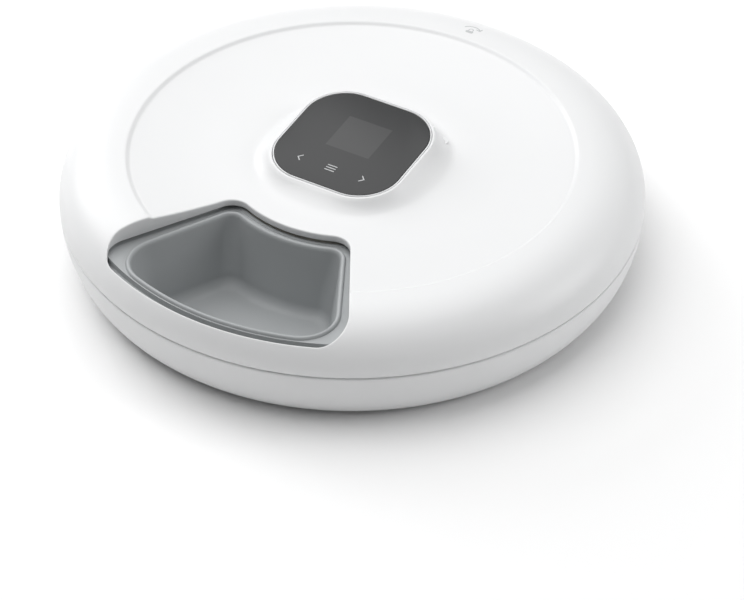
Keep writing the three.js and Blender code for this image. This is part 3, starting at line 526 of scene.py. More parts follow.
for number, (low, high) in enumerate(feet, 1):
    radius = (high.x - low.x) / 2
    profile = rounded([(0, 0), (radius - 4, 0), (radius - 3.5, 0.5), (radius - 2.5, 0.5), (radius - 2, 0),
                       (radius, 0), (radius, high.z), (0, high.z)], [0, 0.2, 0.2, 0.2, 0.3, 0.9, 0.3, 0], 4)
    foot = lathed(f"rubber_pad_{number}", profile, foot_rubber, 48, centre_of((low, high)).xy)
    place(foot, "base", "foot_rubber", f"rubber_foot_{number}")

# ------------------------------------------------------------------ battery bay
# A white moulded box over the floor holds three round cells against springs, and a hinged door closes it.
# The cells are steel cans in a plain blue sleeve with bare ends; the springs and the strip are plated steel.
inner_white = moulded("inner_white", (0.76, 0.765, 0.77), 0.5, depth=0.012)
steel = moulded("steel", (0.52, 0.54, 0.56), 0.32, grain=4200, depth=0.004, metallic=1)
brass = moulded("brass", (0.6, 0.44, 0.17), 0.33, grain=4200, depth=0.004, metallic=1)


def finish_nodes(material, slot, *names):
    """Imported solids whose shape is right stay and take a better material."""
    for name in names:
        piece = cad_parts[name]
        piece.data.materials.clear()
        piece.data.materials.append(material)


def blended(material, mask, colour):
    """Lays another colour over a moulded finish where the mask is bright."""
    tree = material.node_tree
    blend = shader_node(tree, "Mix", {"Factor": mask, "A": tree.nodes["surface"].outputs["Colour"],
                                      "B": (*colour, 1)}, data_type="RGBA")
    feed(tree, tree.nodes["Principled BSDF"], {"Base Color": blend.outputs["Result"]})
    return material


def axes_of(tree):
    """The object's own x, y and z at each point."""
    spot = shader_node(tree, "TexCoord", {}).outputs["Object"]
    return shader_node(tree, "SeparateXYZ", {0: spot}).outputs


def sleeve_material():
    """A blue sleeve with a pale band near one end; the can shows at both rims."""
    material = moulded("cell_sleeve", (0.035, 0.09, 0.16), 0.35, grain=900, depth=0.004, shade=0.1, coat=0.4)
    tree = material.node_tree
    along = shader_node(tree, "MapRange", {"Value": axes_of(tree)["Y"], "From Min": cell_front * MM,
                                           "From Max": cell_back * MM})
    bands = shader_node(tree, "ValToRGB", {"Fac": along.outputs["Result"]})
    bands.color_ramp.interpolation = "CONSTANT"
    stops = bands.color_ramp.elements
    stops[0].position, stops[1].position = 0, 0.03
    stops[0].color, stops[1].color = (1, 1, 1, 1), (0, 0, 0, 1)
    for position, level in ((0.74, 0.55), (0.84, 0), (0.955, 1)):
        stops.new(position).color = (level, level, level, 1)
    return blended(material, bands.outputs["Color"], (0.55, 0.57, 0.58))


cell_front, cell_back = (corner.y for corner in box_mm("battery_cell_1"))
cell_sleeve = sleeve_material()


def battery_cell(number):
    low, high = box_mm(f"battery_cell_{number}")
    middle, radius, length = (low + high) / 2, (high.z - low.z) / 2, high.y - low.y
    profile = [(0, 0), (7, 0), (7.6, 0.5), (10, 0.5), (10.6, 0), (radius - 0.4, 0), (radius, 0.6),
               (radius, length - 2.4), (radius - 1.4, length - 1.5), (4.2, length - 1.7), (3.4, length - 1.4),
               (3.4, length), (0, length)]
    profile = rounded(profile, [0, .2, .2, .2, .2, .3, .3, .7, .4, .3, .3, .7, 0], 4)
    skin = Skin()
    revolved(skin, profile, 64)
    skin.points = [(middle.x + x, low.y + z, middle.z - y) for x, y, z in skin.points]
    place(skin.object(f"battery_{number}", cell_sleeve), "base", "cell_sleeve", f"battery_cell_{number}")


def coil_spring(number):
    """Conical contact spring: a flat first turn against the wall, then an opening helix towards the cell."""
    low, high = box_mm(f"battery_spring_{number}")
    middle = (low + high) / 2
    wire, steps, sides = 0.42, 150, 12
    skin = Skin()
    rings = []
    for k in range(steps + 1):
        t = k / steps
        angle = t * 2.75 * 2 * pi
        radius = 6.6 - 3.6 * t
        rise = low.y + wire + max(0, t - 0.12) / 0.88 * (high.y - low.y - 2 * wire - 0.1)
        rings.append([(middle.x + reach * cos(angle), rise + lift, middle.z + reach * sin(angle))
                      for reach, lift, _ in circle(wire, 0, sides, (radius, 0))])
    indices = skin.bands(rings)
    skin.cap(indices[0], indices[-1])
    place(skin.object(f"contact_spring_{number}", steel), "base", "steel", f"battery_spring_{number}")


for number in (1, 2, 3):
    battery_cell(number)
    coil_spring(number)
finish_nodes(inner_white, "inner_white", "battery_box")
finish_nodes(steel, "steel", "contact_strip")


def slab(outline, bottom, top, edge=0.4, steps=4):
    """A flat plate of any outline, with softly rounded lower and upper edges."""
    quarter = [pi / 2 * k / steps for k in range(steps + 1)]
    levels = [(edge * (1 - sin(a)), bottom + edge * (1 - cos(a))) for a in quarter]
    levels += [(edge * (1 - cos(a)), top - edge * (1 - sin(a))) for a in quarter]
    skin = Skin()
    rings = skin.bands([at(inset(outline, distance), z) for distance, z in levels])
    skin.cap(rings[0], rings[-1])
    return skin


def inset(outline, distance):
    """Moves an anticlockwise outline inwards."""
    out = []
    for i, point in enumerate(outline):
        along = (Vector(outline[(i + 1) % len(outline)]) - Vector(outline[i - 1])).normalized()
        out.append((point[0] - along.y * distance, point[1] + along.x * distance))
    return out


def rectangle(x0, x1, y0, y1, corner, steps=6):
    """Anticlockwise rectangle with round corners."""
    out = []
    for cx, cy, start in ((x1 - corner, y1 - corner, 0), (x0 + corner, y1 - corner, 1),
                          (x0 + corner, y0 + corner, 2), (x1 - corner, y0 + corner, 3)):
        for i in range(steps + 1):
            angle = (start + i / steps) * pi / 2
            out.append((cx + corner * cos(angle), cy + corner * sin(angle)))
    return out


def battery_door():
    """A flush plate with a barrel along its front edge, three grip ribs and a finger notch."""
    side = bay_half - 0.3
    outline = rectangle(-side, side, hinge_y, door_high.y, 1.6)
    plate = slab(outline, foot_height, door_high.z, 0.35).object("battery_hatch", shell_white)
    cut(plate, [block((-9, door_high.y - 5, foot_height - 1), (9, door_high.y + 1, foot_height + 0.9))])
    pieces = [taken(plate)]
    for radius, reach in ((1.9, side), (1.1, door_high.x)):
        barrel = Skin()
        revolved(barrel, rounded([(0, -reach), (radius, -reach), (radius, reach), (0, reach)], 0.3, 3), 28)
        barrel.points = [(z, hinge_y + x, hinge_z + y) for x, y, z in barrel.points]
        pieces.append(barrel)
    for row in range(3):
        y = door_high.y - 9 - row * 2.6
        ridge = rectangle(-8, 8, y - 0.5, y + 0.5, 0.45, 3)
        pieces.append(slab(ridge, foot_height - 0.25, foot_height + 0.4, 0.2, 3))
    return joined(pieces).object("battery_hatch", shell_white)


place(battery_door(), "door", "shell_white", "battery_door")

# ------------------------------------------------------------------ food tray
# One moulding in grey plastic: six compartments with drafted walls, round corners and a bead round each rim,
# joined by a flat deck that steps down at its edge to the flange the rim rollers carry.
tray_low, tray_high = box_mm("food_tray")
ring_z = box_mm("carousel_ring")[0].z
tray_bottom, bead_top = tray_low.z, tray_high.z
flange_radius = tray_high.x
flange_z = bead_top - 5.2
deck_z = bead_top - 1.6
tray_floor = tray_bottom + 1.8
skirt_inner = 68.6
skirt_outer = skirt_inner + 2
bead_inner, bead_outer, bead_half_angle = skirt_outer + 2.5, flange_radius - 4, radians(27.8)
deck_edge = bead_outer + 1.6
tray_draft = tan(radians(8))
tray_grey = moulded("tray_grey", (0.38, 0.395, 0.402), 0.5, depth=0.012)


def sector_outline(inner, outer, half, inset_by, corner_in, corner_out, steps=(40, 12, 22, 18)):
    """Ring sector about -Y, moved inwards by inset_by; the corner radii are those of the moved outline."""
    near, far = inner + inset_by, outer - inset_by
    side, normal = Vector((cos(half), sin(half))), Vector((sin(half), -cos(half)))
    places = []
    for distance, corner in ((far - corner_out, corner_out), (near + corner_in, corner_in)):
        away = inset_by + corner
        places.append(side * sqrt(distance ** 2 - away ** 2) + normal * away)
    outer_middle, inner_middle = places
    outer_angle = atan2(outer_middle.y, outer_middle.x)
    inner_angle = atan2(inner_middle.y, inner_middle.x)
    upright = half + pi / 2
    on_outer, on_corner, on_side, on_inner = steps

    def arc(middle, radius, start, end, count):
        angles = [start + (end - start) * i / count for i in range(count)]
        return [Vector(middle) + Vector((cos(a), sin(a))) * radius for a in angles]

    def line(start, end, count):
        return [start.lerp(end, i / count) for i in range(count)]

    across = Vector((cos(upright), sin(upright)))
    upper_side = (outer_middle + across * corner_out, inner_middle + across * corner_in)

    def mirrored(point):
        return Vector((point.x, -point.y))

    points = arc((0, 0), far, -outer_angle, outer_angle, on_outer)
    points += arc(outer_middle, corner_out, outer_angle, upright, on_corner)
    points += line(*upper_side, on_side)
    points += arc(inner_middle, corner_in, upright, pi + inner_angle, on_corner)
    points += arc((0, 0), near, inner_angle, -inner_angle, on_inner)
    points += arc(mirrored(inner_middle), corner_in, pi - inner_angle, 2 * pi - upright, on_corner)
    points += line(mirrored(upper_side[1]), mirrored(upper_side[0]), on_side)
    points += arc(mirrored(outer_middle), corner_out, -upright, -outer_angle, on_corner)
    return [(p.y, -p.x) for p in points]


def compartment_outline(inset_by, corner_in, corner_out):
    return sector_outline(bead_inner, bead_outer, bead_half_angle, inset_by, corner_in, corner_out)


def wall_inset(z):
    return 1.9 + (bead_top - z) * tray_draft


def food_tray():
    skin = Skin()
    turns = 240
    under_z, flange_under = deck_z - 1.8, flange_z - 2
    bead = [(-0.95, 0), (-0.93, 0.08), (-0.87, 0.28), (-0.75, 0.62), (-0.56, 0.98), (-0.28, 1.32),
            (0.05, 1.54), (0.45, 1.6), (0.9, 1.5), (1.3, 1.22), (1.65, 0.78), (1.92, 0.2), (2.12, -0.5),
            (2.26, -1.3)]
    levels = [(inset_by, deck_z + rise, 0) for inset_by, rise in bead]
    wall_top, fillet = deck_z - 2.2, 7.0
    for k in range(1, 11):
        z = wall_top + (tray_floor + fillet - wall_top) * k / 10
        levels.append((wall_inset(z), z, k / 10))
    for k in range(1, 11):
        angle = pi / 2 * k / 10
        z = tray_floor + fillet * (1 - sin(angle))
        levels.append((wall_inset(tray_floor + fillet) + fillet * 0.95 * (1 - cos(angle)), z, 1))
    mouth_rings, cup_rings = [], []
    for i in range(6):
        turn = i * pi / 3
        rings = []
        for inset_by, z, depth in levels:
            corner_in = max(9 - inset_by, 6) + 5 * depth
            corner_out = max(20 - inset_by, 14) + 2 * depth
            outline = turned(compartment_outline(inset_by, corner_in, corner_out), turn)
            nearest = skirt_outer + 0.5 + 0.15 * (inset_by + 0.95)
            stretch = [max(1, nearest / hypot(x, y)) for x, y in outline]
            rings.append([(x * k, y * k, z) for (x, y), k in zip(outline, stretch)])
        indices = skin.bands(rings)
        mouth_rings.append(indices[0])
        middle = Vector((*turned([(0, -(bead_inner + bead_outer) / 2)], turn)[0], tray_floor))
        level_floor(skin, indices[-1], middle)
        outside = []
        cup = ((0.45, under_z), (0.5, under_z - 0.6), (wall_inset(tray_bottom + 5) - 1.8, tray_bottom + 5),
               (wall_inset(tray_bottom + 2) - 0.9, tray_bottom + 1.6),
               (wall_inset(tray_bottom) + 1.2, tray_bottom + 0.3), (wall_inset(tray_bottom) + 3, tray_bottom))
        for inset_by, z in cup:
            outline = compartment_outline(inset_by, max(9 - inset_by, 3), max(20 - inset_by, 8))
            outside.append(at(turned(outline, turn), z))
        indices = skin.bands(outside)
        cup_rings.append(indices[0])
        skin.cap(indices[-1])
    edge = rounded([(deck_edge - 0.5, deck_z), (deck_edge, deck_z), (deck_edge, flange_z),
                    (flange_radius, flange_z), (flange_radius, flange_under), (deck_edge - 2, flange_under),
                    (deck_edge - 2, under_z)],
                   [0, 0.4, 0.4, 0.4, 0.4, 0.4, 0], 3)
    rim = skin.bands([circle(r, z, turns) for r, z in edge])
    skirt_foot = ring_z + 3.3
    collar = rounded([(skirt_outer + 0.25, deck_z), (skirt_outer, deck_z + 0.2), (skirt_outer, bead_top - 1),
                      (skirt_inner, bead_top - 1), (skirt_inner, skirt_foot), (skirt_outer, skirt_foot),
                      (skirt_outer, under_z - 0.6), (skirt_outer + 0.6, under_z)],
                     [0, .1, .3, .3, .4, .4, .5, 0], 3)
    neck = skin.bands([circle(r, z, turns) for r, z in collar])
    skin.sheet(rim[0], [neck[0], *mouth_rings], [], lambda x, y: deck_z)
    skin.sheet(rim[-1], [neck[-1], *cup_rings], [], lambda x, y: under_z)
    return skin.object("meal_tray", tray_grey, 40)


def level_floor(skin, ring, middle):
    """Closes a floor with shrinking copies of its outline, so that its faces stay even."""
    last = ring
    for share in (0.15, 0.35, 0.55, 0.75, 0.9):
        places = [Vector(skin.points[index]).lerp(middle, share) for index in ring]
        last = skin.bands([places], last)[-1]
    skin.fan(last, middle)


place(food_tray(), "carousel", "tray_grey", "food_tray")

# ------------------------------------------------------------------ lid shell
# The upper half of the casing: one moulding in white ABS with a shallow dish inside a raised ring, a round
# shoulder down to the seam, a plinth that flares up to the tilted panel, and a window with a wall round it.
swivel_low, swivel_high = box_mm("swivel_socket")
glass_high = box_mm("panel_glass")[1]
lid_wall = 2.5
shoulder_width, shoulder_rise = 32, 24.9
lid_axis_z = seam_z + 2.5
crest_z = lid_axis_z + shoulder_rise
shoulder_radius = body_radius - shoulder_width
crest_radius = shoulder_radius - 5.1
dish_radius = crest_radius - 1.9
dish_step, dish_depth, dish_low_radius, dish_power = 1.5, 5.7, 76, 1.6
dish_low_z = crest_z - dish_depth
panel_half = glass_high.x + 0.2
panel_corner = 23.2
panel_tilt = radians(5.4)
panel_z = crest_z + 3.9
bezel_width, bezel_depth = 0.8, 4.2
seat_half = panel_half + bezel_width + 0.3
seat_corner = panel_corner + bezel_width + 0.3
seat_depth = bezel_depth + 0.3
opening_half, opening_corner = panel_half - 4.5, panel_corner - 4.5
rim_half, rim_corner = seat_half + 1.4, seat_corner + 1.4
flare_radius = 58
window_inner, window_outer, window_half_angle = bead_inner - 3.5, bead_outer + 5.6, radians(30)
window_corner_in, window_corner_out, window_wall = 11, 15, 2
window_bottom, window_low_edge = bead_top + 1, bead_top - 5
window_step_radius = window_outer - 4.8
liner_low, liner_high = box_mm("lid_liner")
liner_screws = [centre_of(box) for box in boxes("liner_screw", 4)]
boss_foot = liner_low.z + 1.8
lid_turns = 256


def square_radius(angle, half, corner):
    """Distance from the middle of a round-cornered square to its edge in one direction."""
    x, y = abs(cos(angle)), abs(sin(angle))
    if x < y:
        x, y = y, x
    flat = half - corner
    if half * y / x <= flat:
        return half / x
    along = flat * (x + y)
    return along + sqrt(max(along ** 2 - 2 * flat ** 2 + corner ** 2, 0))


def panel_plane(y):
    return panel_z + tan(panel_tilt) * y


def dish_height(r):
    share = min(max((r - dish_low_radius) / (dish_radius - dish_low_radius), 0), 1)
    return dish_low_z + (dish_depth - dish_step) * share ** dish_power


def smooth_step(t):
    t = min(max(t, 0), 1)
    return t * t * (3 - 2 * t)


def crown_height(r):
    """Height of the revolved top: dish, soft step, flat crest and round shoulder."""
    if r <= shoulder_radius:
        start, end = dish_radius - 0.5, crest_radius + 0.4
        rise = crest_z - dish_height(start)
        return dish_height(min(r, start)) + rise * smooth_step((r - start) / (end - start))
    return lid_axis_z + shoulder_rise * sqrt(max(1 - ((r - shoulder_radius) / shoulder_width) ** 2, 0))


def plinth_height(x, y):
    r, angle = hypot(x, y), atan2(y, x)
    start = square_radius(angle, rim_half, rim_corner)
    if r <= start:
        return panel_plane(y)
    share = min((r - start) / (flare_radius - start), 1)
    top = panel_plane(start * sin(angle))
    return top + (dish_low_z - 0.4 - top) * (1 - (1 - share) ** 2.2)


def top_height(x, y):
    """Outer face of the lid: the plinth melts into the crown over a short distance."""
    crown, plinth, soft = crown_height(hypot(x, y)), plinth_height(x, y), 0.9
    if plinth <= crown - soft or hypot(x, y) > flare_radius + 4:
        return crown
    apart = min(max(0.5 + 0.5 * (plinth - crown) / soft, 0), 1)
    return crown + (plinth - crown) * apart + soft * apart * (1 - apart)


def under_height(x, y):
    """Inner face of the lid, a wall below the outer face and under the panel's seat."""
    r = hypot(x, y)
    height = top_height(x, y) - lid_wall
    if r > shoulder_radius:
        share = min((r - shoulder_radius) / (shoulder_width - lid_wall), 1)
        height = lid_axis_z + (shoulder_rise - lid_wall) * sqrt(1 - share ** 2)
    return min(height, panel_plane(y) - seat_depth - 2.2)


def window_outline(outset, limit=None):
    """Outline of the window, moved outwards, and kept inside a radius where one is given."""
    outline = sector_outline(window_inner, window_outer, window_half_angle, -outset,
                             window_corner_in + outset, window_corner_out + outset, (64, 16, 46, 30))
    if limit is None:
        return outline
    return [(x * min(1, limit / hypot(x, y)), y * min(1, limit / hypot(x, y))) for x, y in outline]


def square_ring(half, corner, turns=lid_turns):
    """A round-cornered square, with a point at each of an even run of angles."""
    angles = [i * 2 * pi / turns for i in range(turns)]
    reaches = [square_radius(a, half, corner) for a in angles]
    return [(reach * cos(a), reach * sin(a)) for reach, a in zip(reaches, angles)]


def polar_points(radii, margin):
    """Grid points between two circles, less those close to the window."""
    kept = []
    border = window_outline(margin)
    widest = window_half_angle + radians(8)
    for step, r in enumerate(radii):
        for i in range(lid_turns):
            angle = (i + 0.5 * (step % 2)) * 2 * pi / lid_turns
            point = (r * cos(angle), r * sin(angle))
            from_window = abs((angle - 1.5 * pi + pi) % (2 * pi) - pi)
            if from_window > widest or not within(border, point):
                kept.append(point)
    return kept


def spaced(start, end, step):
    count = max(1, round((end - start) / step))
    return [start + (end - start) * i / count for i in range(count)]


def window_floor(x, y):
    """Lower edge of the window's wall, which reaches further down along the outer arc."""
    share = min(max((hypot(x, y) - window_step_radius) / 2.8, 0), 1)
    return window_bottom + (window_low_edge - window_bottom) * share


def lid_shell():
    skin = Skin()
    inner_circle, outer_circle = 62, body_radius - 2.8
    under_circle, wall_limit = body_radius - 4.0, body_radius - 5.2
    fillet, seat_edge, rim_sag = 1.1, 0.25, 0.25
    # plinth: rings along rays from the panel's seat out to a circle on the dish
    rays = []
    for k in range(5):
        grown = seat_edge * k / 4
        drop = seat_edge * (1 - sqrt(max(1 - (1 - k / 4) ** 2, 0)))
        ring = square_ring(seat_half + grown, seat_corner + grown)
        rays.append([(x, y, top_height(x, y) - drop) for x, y in ring])
    near_half, near_corner = seat_half + seat_edge, seat_corner + seat_edge
    for share in (0.3, 0.6, 0.85, 1.0):
        ring = square_ring(near_half + (rim_half - near_half) * share,
                           near_corner + (rim_corner - near_corner) * share)
        rays.append([(x, y, top_height(x, y) - rim_sag * share ** 4) for x, y in ring])
    for k in range(1, 29):
        ring = []
        for x, y in square_ring(rim_half, rim_corner):
            stretch = 1 + (inner_circle / hypot(x, y) - 1) * (k / 28) ** 1.25
            ring.append((x * stretch, y * stretch))
        rays.append([(x, y, top_height(x, y) - rim_sag * max(0, 1 - k / 3)) for x, y in ring])
    plinth = skin.bands(rays)
    # crown with the window's hole
    mouth = window_outline(fillet)
    mouth_ring = skin.ring([(x, y, top_height(x, y)) for x, y in mouth])
    outer_ring = skin.ring(circle(outer_circle, crown_height(outer_circle), lid_turns))
    step_inner, step_outer = dish_radius - 1.5, crest_radius + 1.2
    radii = [*spaced(inner_circle + 2, step_inner, 2.6), *spaced(step_inner, step_outer, 0.35),
             *spaced(step_outer, shoulder_radius, 1.5), *spaced(shoulder_radius, outer_circle - 0.9, 1.15)]
    inside = polar_points(radii, fillet + 3.6)
    for outset in (1, 1.9, 3.0):
        inside += [(x, y) for x, y in window_outline(fillet + outset) if hypot(x, y) < outer_circle - 0.7]
    skin.sheet(outer_ring, [plinth[-1], mouth_ring], inside, top_height)
    # window: rounded edge, turned-down wall and its outer side
    edge_rings = []
    for k in range(1, 7):
        ring = []
        for outer, inner in zip(mouth, window_outline(0)):
            corner = Vector((*inner, top_height(*inner)))
            end = corner - Vector((0, 0, fillet))
            ring.append(tuple(bend(Vector((*outer, top_height(*outer))), corner, end, k / 6)))
        edge_rings.append(ring)
    for outset, lift in ((0, 0.5), (0.15, 0.15), (0.5, 0)):
        outline = window_outline(outset, window_outer + 0.1 + outset * 0.3)
        edge_rings.append([(x, y, window_floor(x, y) + lift) for x, y in outline])
    outer_wall = window_outline(window_wall, wall_limit)
    edge_rings.append([(x, y, window_floor(x, y)) for x, y in outer_wall])
    edge_rings.append([(x, y, max(under_height(x, y), window_floor(x, y) + 0.2)) for x, y in outer_wall])
    window_ring = skin.bands(edge_rings, mouth_ring)[-1]
    # skirt down to the seam and up again inside
    skirt = []
    for k in range(1, 9):
        angle = asin((crown_height(outer_circle) - lid_axis_z) / shoulder_rise) * (1 - k / 8)
        skirt.append((shoulder_radius + shoulder_width * cos(angle), lid_axis_z + shoulder_rise * sin(angle)))
    edge_z = seam_z + seam_gap / 2
    inner_side = body_radius - lid_wall
    skirt += [(body_radius, lid_axis_z - 0.8), (body_radius - 0.12, lid_axis_z - 1.4),
              (body_radius - 0.4, edge_z + 0.5), (body_radius - 0.8, edge_z + 0.15),
              (body_radius - 1.4, edge_z), (inner_side + 0.3, edge_z), (inner_side, edge_z + 0.3),
              (inner_side, lid_axis_z)]
    inner_width, inner_rise = shoulder_width - lid_wall, shoulder_rise - lid_wall
    for k in range(1, 7):
        angle = asin(sqrt(1 - ((under_circle - shoulder_radius) / inner_width) ** 2)) * k / 6
        skirt.append((shoulder_radius + inner_width * cos(angle), lid_axis_z + inner_rise * sin(angle)))
    under_ring = skin.bands([circle(r, z, lid_turns) for r, z in skirt], outer_ring)[-1]
    # panel seat: wall, ledge and opening
    opening = square_ring(opening_half, opening_corner)
    seat = [[(x, y, panel_plane(y) - seat_depth) for x, y in ring] for ring in
            (square_ring(seat_half, seat_corner), opening)]
    seat.append([(x, y, under_height(x, y)) for x, y in opening])
    opening_ring = skin.bands(seat, plinth[0])[-1]
    # inner face
    border = window_outline(window_wall + 1.6)
    points = []
    for step, r in enumerate([*spaced(36, inner_circle, 2.2), *spaced(inner_circle, 150, 3.5), 152, 154]):
        for i in range(lid_turns // 2):
            angle = (i + 0.5 * (step % 2)) * 4 * pi / lid_turns
            x, y = r * cos(angle), r * sin(angle)
            if r > square_radius(angle, opening_half, opening_corner) + 1.2 and not within(border, (x, y)):
                points.append((x, y))
    skin.sheet(under_ring, [opening_ring, window_ring], points, under_height)
    return joined([skin, *lid_fixings()]).object("lid_casing", shell_white, 40)


def lid_fixings():
    """Four bayonet lugs inside the skirt, and four bosses for the liner's screws."""
    lug_bottom, hole_top = seam_z + 2, boss_foot + 3.3
    lug_outline = rectangle(lip_outer - 1.4, body_radius - lid_wall + 0.6, -7, 7, 0.8, 4)
    pieces = []
    for i in range(4):
        lug = slab(lug_outline, lug_bottom, lug_bottom + 2.5, 0.4)
        lug.points = [(*turned([(x, y)], i * pi / 2)[0], z) for x, y, z in lug.points]
        pieces.append(lug)
    for middle in liner_screws:
        boss = Skin()
        roof = under_height(*middle.xy) + 1
        profile = [(0, hole_top), (1.6, hole_top), (1.6, boss_foot), (3.4, boss_foot), (3.4, roof), (0, roof)]
        revolved(boss, rounded(profile, [0, 0.1, 0.2, 0.3, 0.1, 0], 3), 32, middle.xy)
        pieces.append(boss)
    return pieces


place(lid_shell(), "lid", "shell_white", "lid_shell")

# ------------------------------------------------------------------ panel
# A dark smoked glass on a white bezel ring, set in the plinth with a narrow gap round it. The display sits
# behind the glass, and the touch keys are printed on it.
panel_turn = Matrix.Rotation(panel_tilt, 4, "X")
panel_lift = Matrix.Translation((0, 0, panel_z))


def on_panel(skin):
    """Moves points made flat, with the panel's top at zero, to the tilted panel."""
    skin.points = [tuple(panel_lift @ panel_turn @ Vector(p)) for p in skin.points]
    return skin


def square_rings(levels, turns=lid_turns):
    """Rings of round-cornered squares, each given by half width, corner radius and height."""
    return [at(square_ring(half, corner, turns), z) for half, corner, z in levels]


display_middle, display_half, display_soft = (0.7, 6.0), (13.4, 13.0), 0.35


def panel_material():
    """Smoked glass: nearly black, with the display's window a little lighter behind it."""
    material = moulded("panel_glass", (0.04, 0.041, 0.042), 0.24, grain=300, depth=0.001, shade=0.03,
                       specular=0.25)
    tree = material.node_tree
    axes, sides = axes_of(tree), []
    for axis, middle, half in zip("XY", display_middle, display_half):
        offset = shader_node(tree, "Math", {0: axes[axis], 1: middle * MM}, operation="SUBTRACT")
        away = shader_node(tree, "Math", {0: offset.outputs[0]}, operation="ABSOLUTE")
        limits = {"From Min": (half + display_soft) * MM, "From Max": (half - display_soft) * MM}
        edge = shader_node(tree, "MapRange", {"Value": away.outputs[0], **limits},
                           interpolation_type="SMOOTHSTEP")
        sides.append(edge.outputs["Result"])
    inside = shader_node(tree, "Math", {0: sides[0], 1: sides[1]}, operation="MULTIPLY")
    return blended(material, inside.outputs[0], (0.062, 0.063, 0.064))


panel_glass = panel_material()
bezel_white = moulded("bezel_white", (0.8, 0.805, 0.81), 0.28, depth=0.006)


def glass_plate():
    half, corner, thick, edge = panel_half - 0.2, panel_corner - 0.2, 1.6, 0.35
    skin = Skin()
    quarter = [pi / 2 * k / 5 for k in range(6)]
    levels = [(half - 0.2, corner - 0.2, -thick), (half, corner, -thick + 0.2)]
    for a in quarter:
        levels.append((half - edge * (1 - cos(a)), corner - edge * (1 - cos(a)), -edge * (1 - sin(a))))
    rings = skin.bands(square_rings(levels))
    skin.cap(rings[0], rings[-1])
    place(on_panel(skin).object("touch_glass", panel_glass), "lid", "panel_glass", "panel_glass")


def bezel_ring():
    outer, corner = panel_half + bezel_width, panel_corner + bezel_width
    pocket, pocket_corner = panel_half + 0.1, panel_corner + 0.1
    opening, pocket_floor = (opening_half, opening_corner), -1.9
    levels = [(*opening, -bezel_depth), (outer, corner, -bezel_depth), (outer, corner, -0.2),
              (outer - 0.08, corner - 0.08, 0.02), (outer - 0.3, corner - 0.3, 0.14),
              (pocket + 0.18, pocket_corner + 0.18, 0.14), (pocket + 0.03, pocket_corner + 0.03, 0.04),
              (pocket, pocket_corner, -0.1), (pocket, pocket_corner, pocket_floor), (*opening, pocket_floor),
              (*opening, -bezel_depth)]
    skin = Skin()
    skin.bands(square_rings(levels))
    place(on_panel(skin).object("bezel_ring", bezel_white), "lid", "bezel_white", "panel_bezel")


glass_plate()
bezel_ring()

# ------------------------------------------------------------------ printed marks
# Three touch keys (back, menu, next) printed on the glass in light grey, and a turn arrow over a padlock
# printed on the crown opposite the window. Each is a film of ink a few hundredths of a millimetre thick.
ink_grey = moulded("ink_grey", (0.5, 0.51, 0.515), 0.5, grain=3000, depth=0.001)
ink_rise = 0.03


def stroke(points, width, height):
    """A flat pen stroke with round ends along a run of points, as one closed strip lying on a surface."""
    skin = Skin()
    path = [Vector(p) for p in points]
    left, right = [], []
    for i, here in enumerate(path):
        before = path[max(i - 1, 0)]
        after = path[min(i + 1, len(path) - 1)]
        along = (after - before).normalized()
        side = Vector((-along.y, along.x))
        spread = width / 2
        if 0 < i < len(path) - 1:
            first, second = (here - before).normalized(), (after - here).normalized()
            spread /= max(cos(first.angle(second, 0) / 2), 0.5)
        left.append(here + side * spread)
        right.append(here - side * spread)

    def end_cap(middle, start):
        return [middle + Matrix.Rotation(start - pi * k / 8, 2) @ Vector((width / 2, 0)) for k in range(1, 8)]

    last, first = path[-1] - path[-2], path[0] - path[1]
    outline = left + end_cap(path[-1], atan2(last.y, last.x) + pi / 2)
    outline += list(reversed(right)) + end_cap(path[0], atan2(first.y, first.x) + pi / 2)
    flat = [(p.x, p.y, height(p.x, p.y)) for p in outline]
    for ring in skin.bands([[(x, y, z + lift) for x, y, z in flat] for lift in (ink_rise, -ink_rise)]):
        skin.sheet(ring, [], [], height)
    return skin


def key_mark(name, strokes):
    marks = joined([stroke(points, 0.62, lambda x, y: 0) for points in strokes])
    place(on_panel(marks).object(name, ink_grey), "lid", "bezel_white")


key_y, key_pitch, arm = -22.6, 19.6, 2.1


def arrow(side):
    near, tip = side * (key_pitch - 1), side * (key_pitch + 1)
    return [[(near, key_y + arm), (tip, key_y), (near, key_y - arm)]]


key_mark("back_key_mark", arrow(-1))
key_mark("menu_key_mark", [[(-2.7, key_y + row * 1.9), (2.7, key_y + row * 1.9)] for row in (-1, 0, 1)])
key_mark("next_key_mark", arrow(1))


def crown_mark():
    """A curved arrow over a small closed padlock, both read from behind the feeder."""
    middle_y = 136
    sweep = [radians(90 + 62 * (k / 12 - 0.5) * 2) for k in range(13)]
    bend = [(5.4 * cos(a), middle_y - 4.2 + 5.4 * sin(a)) for a in sweep]
    tip = Vector(bend[0])
    head = [tuple(tip + Vector((0.2, 2.3))), tuple(tip), tuple(tip + Vector((-2.3, 0.5)))]
    shackle = [(1.25 * cos(pi * k / 8), middle_y - 3.4 + 1.4 * sin(pi * k / 8)) for k in range(9)]
    shackle = [(1.25, middle_y - 4.4), *shackle, (-1.25, middle_y - 4.4)]
    body = [(-1.3, middle_y - 5.6), (1.3, middle_y - 5.6)]
    skins = [stroke(bend, 0.8, top_height), stroke(head, 0.8, top_height), stroke(shackle, 0.55, top_height),
             stroke(body, 2.2, top_height)]
    place(joined(skins).object("lock_mark", ink_grey), "lid", "bezel_white")


crown_mark()

# ------------------------------------------------------------------ hub
# A round tower moulded in matt white ABS and screwed up through the floor. It closes in the batteries and the
# drive, carries the tray's ring on a ledge, and lets the idler gear out through a window in its wall.
hub_high = box_mm("hub_tower")[1]
idler_low, idler_high = box_mm("idler_gear")
sensor_low, sensor_high = box_mm("index_sensor")
hub_radius = hub_high.x - 8.3
hub_inner = hub_radius - 2
ledge_top = ring_z - 0.3
swivel_radius = swivel_high.x - 2.5


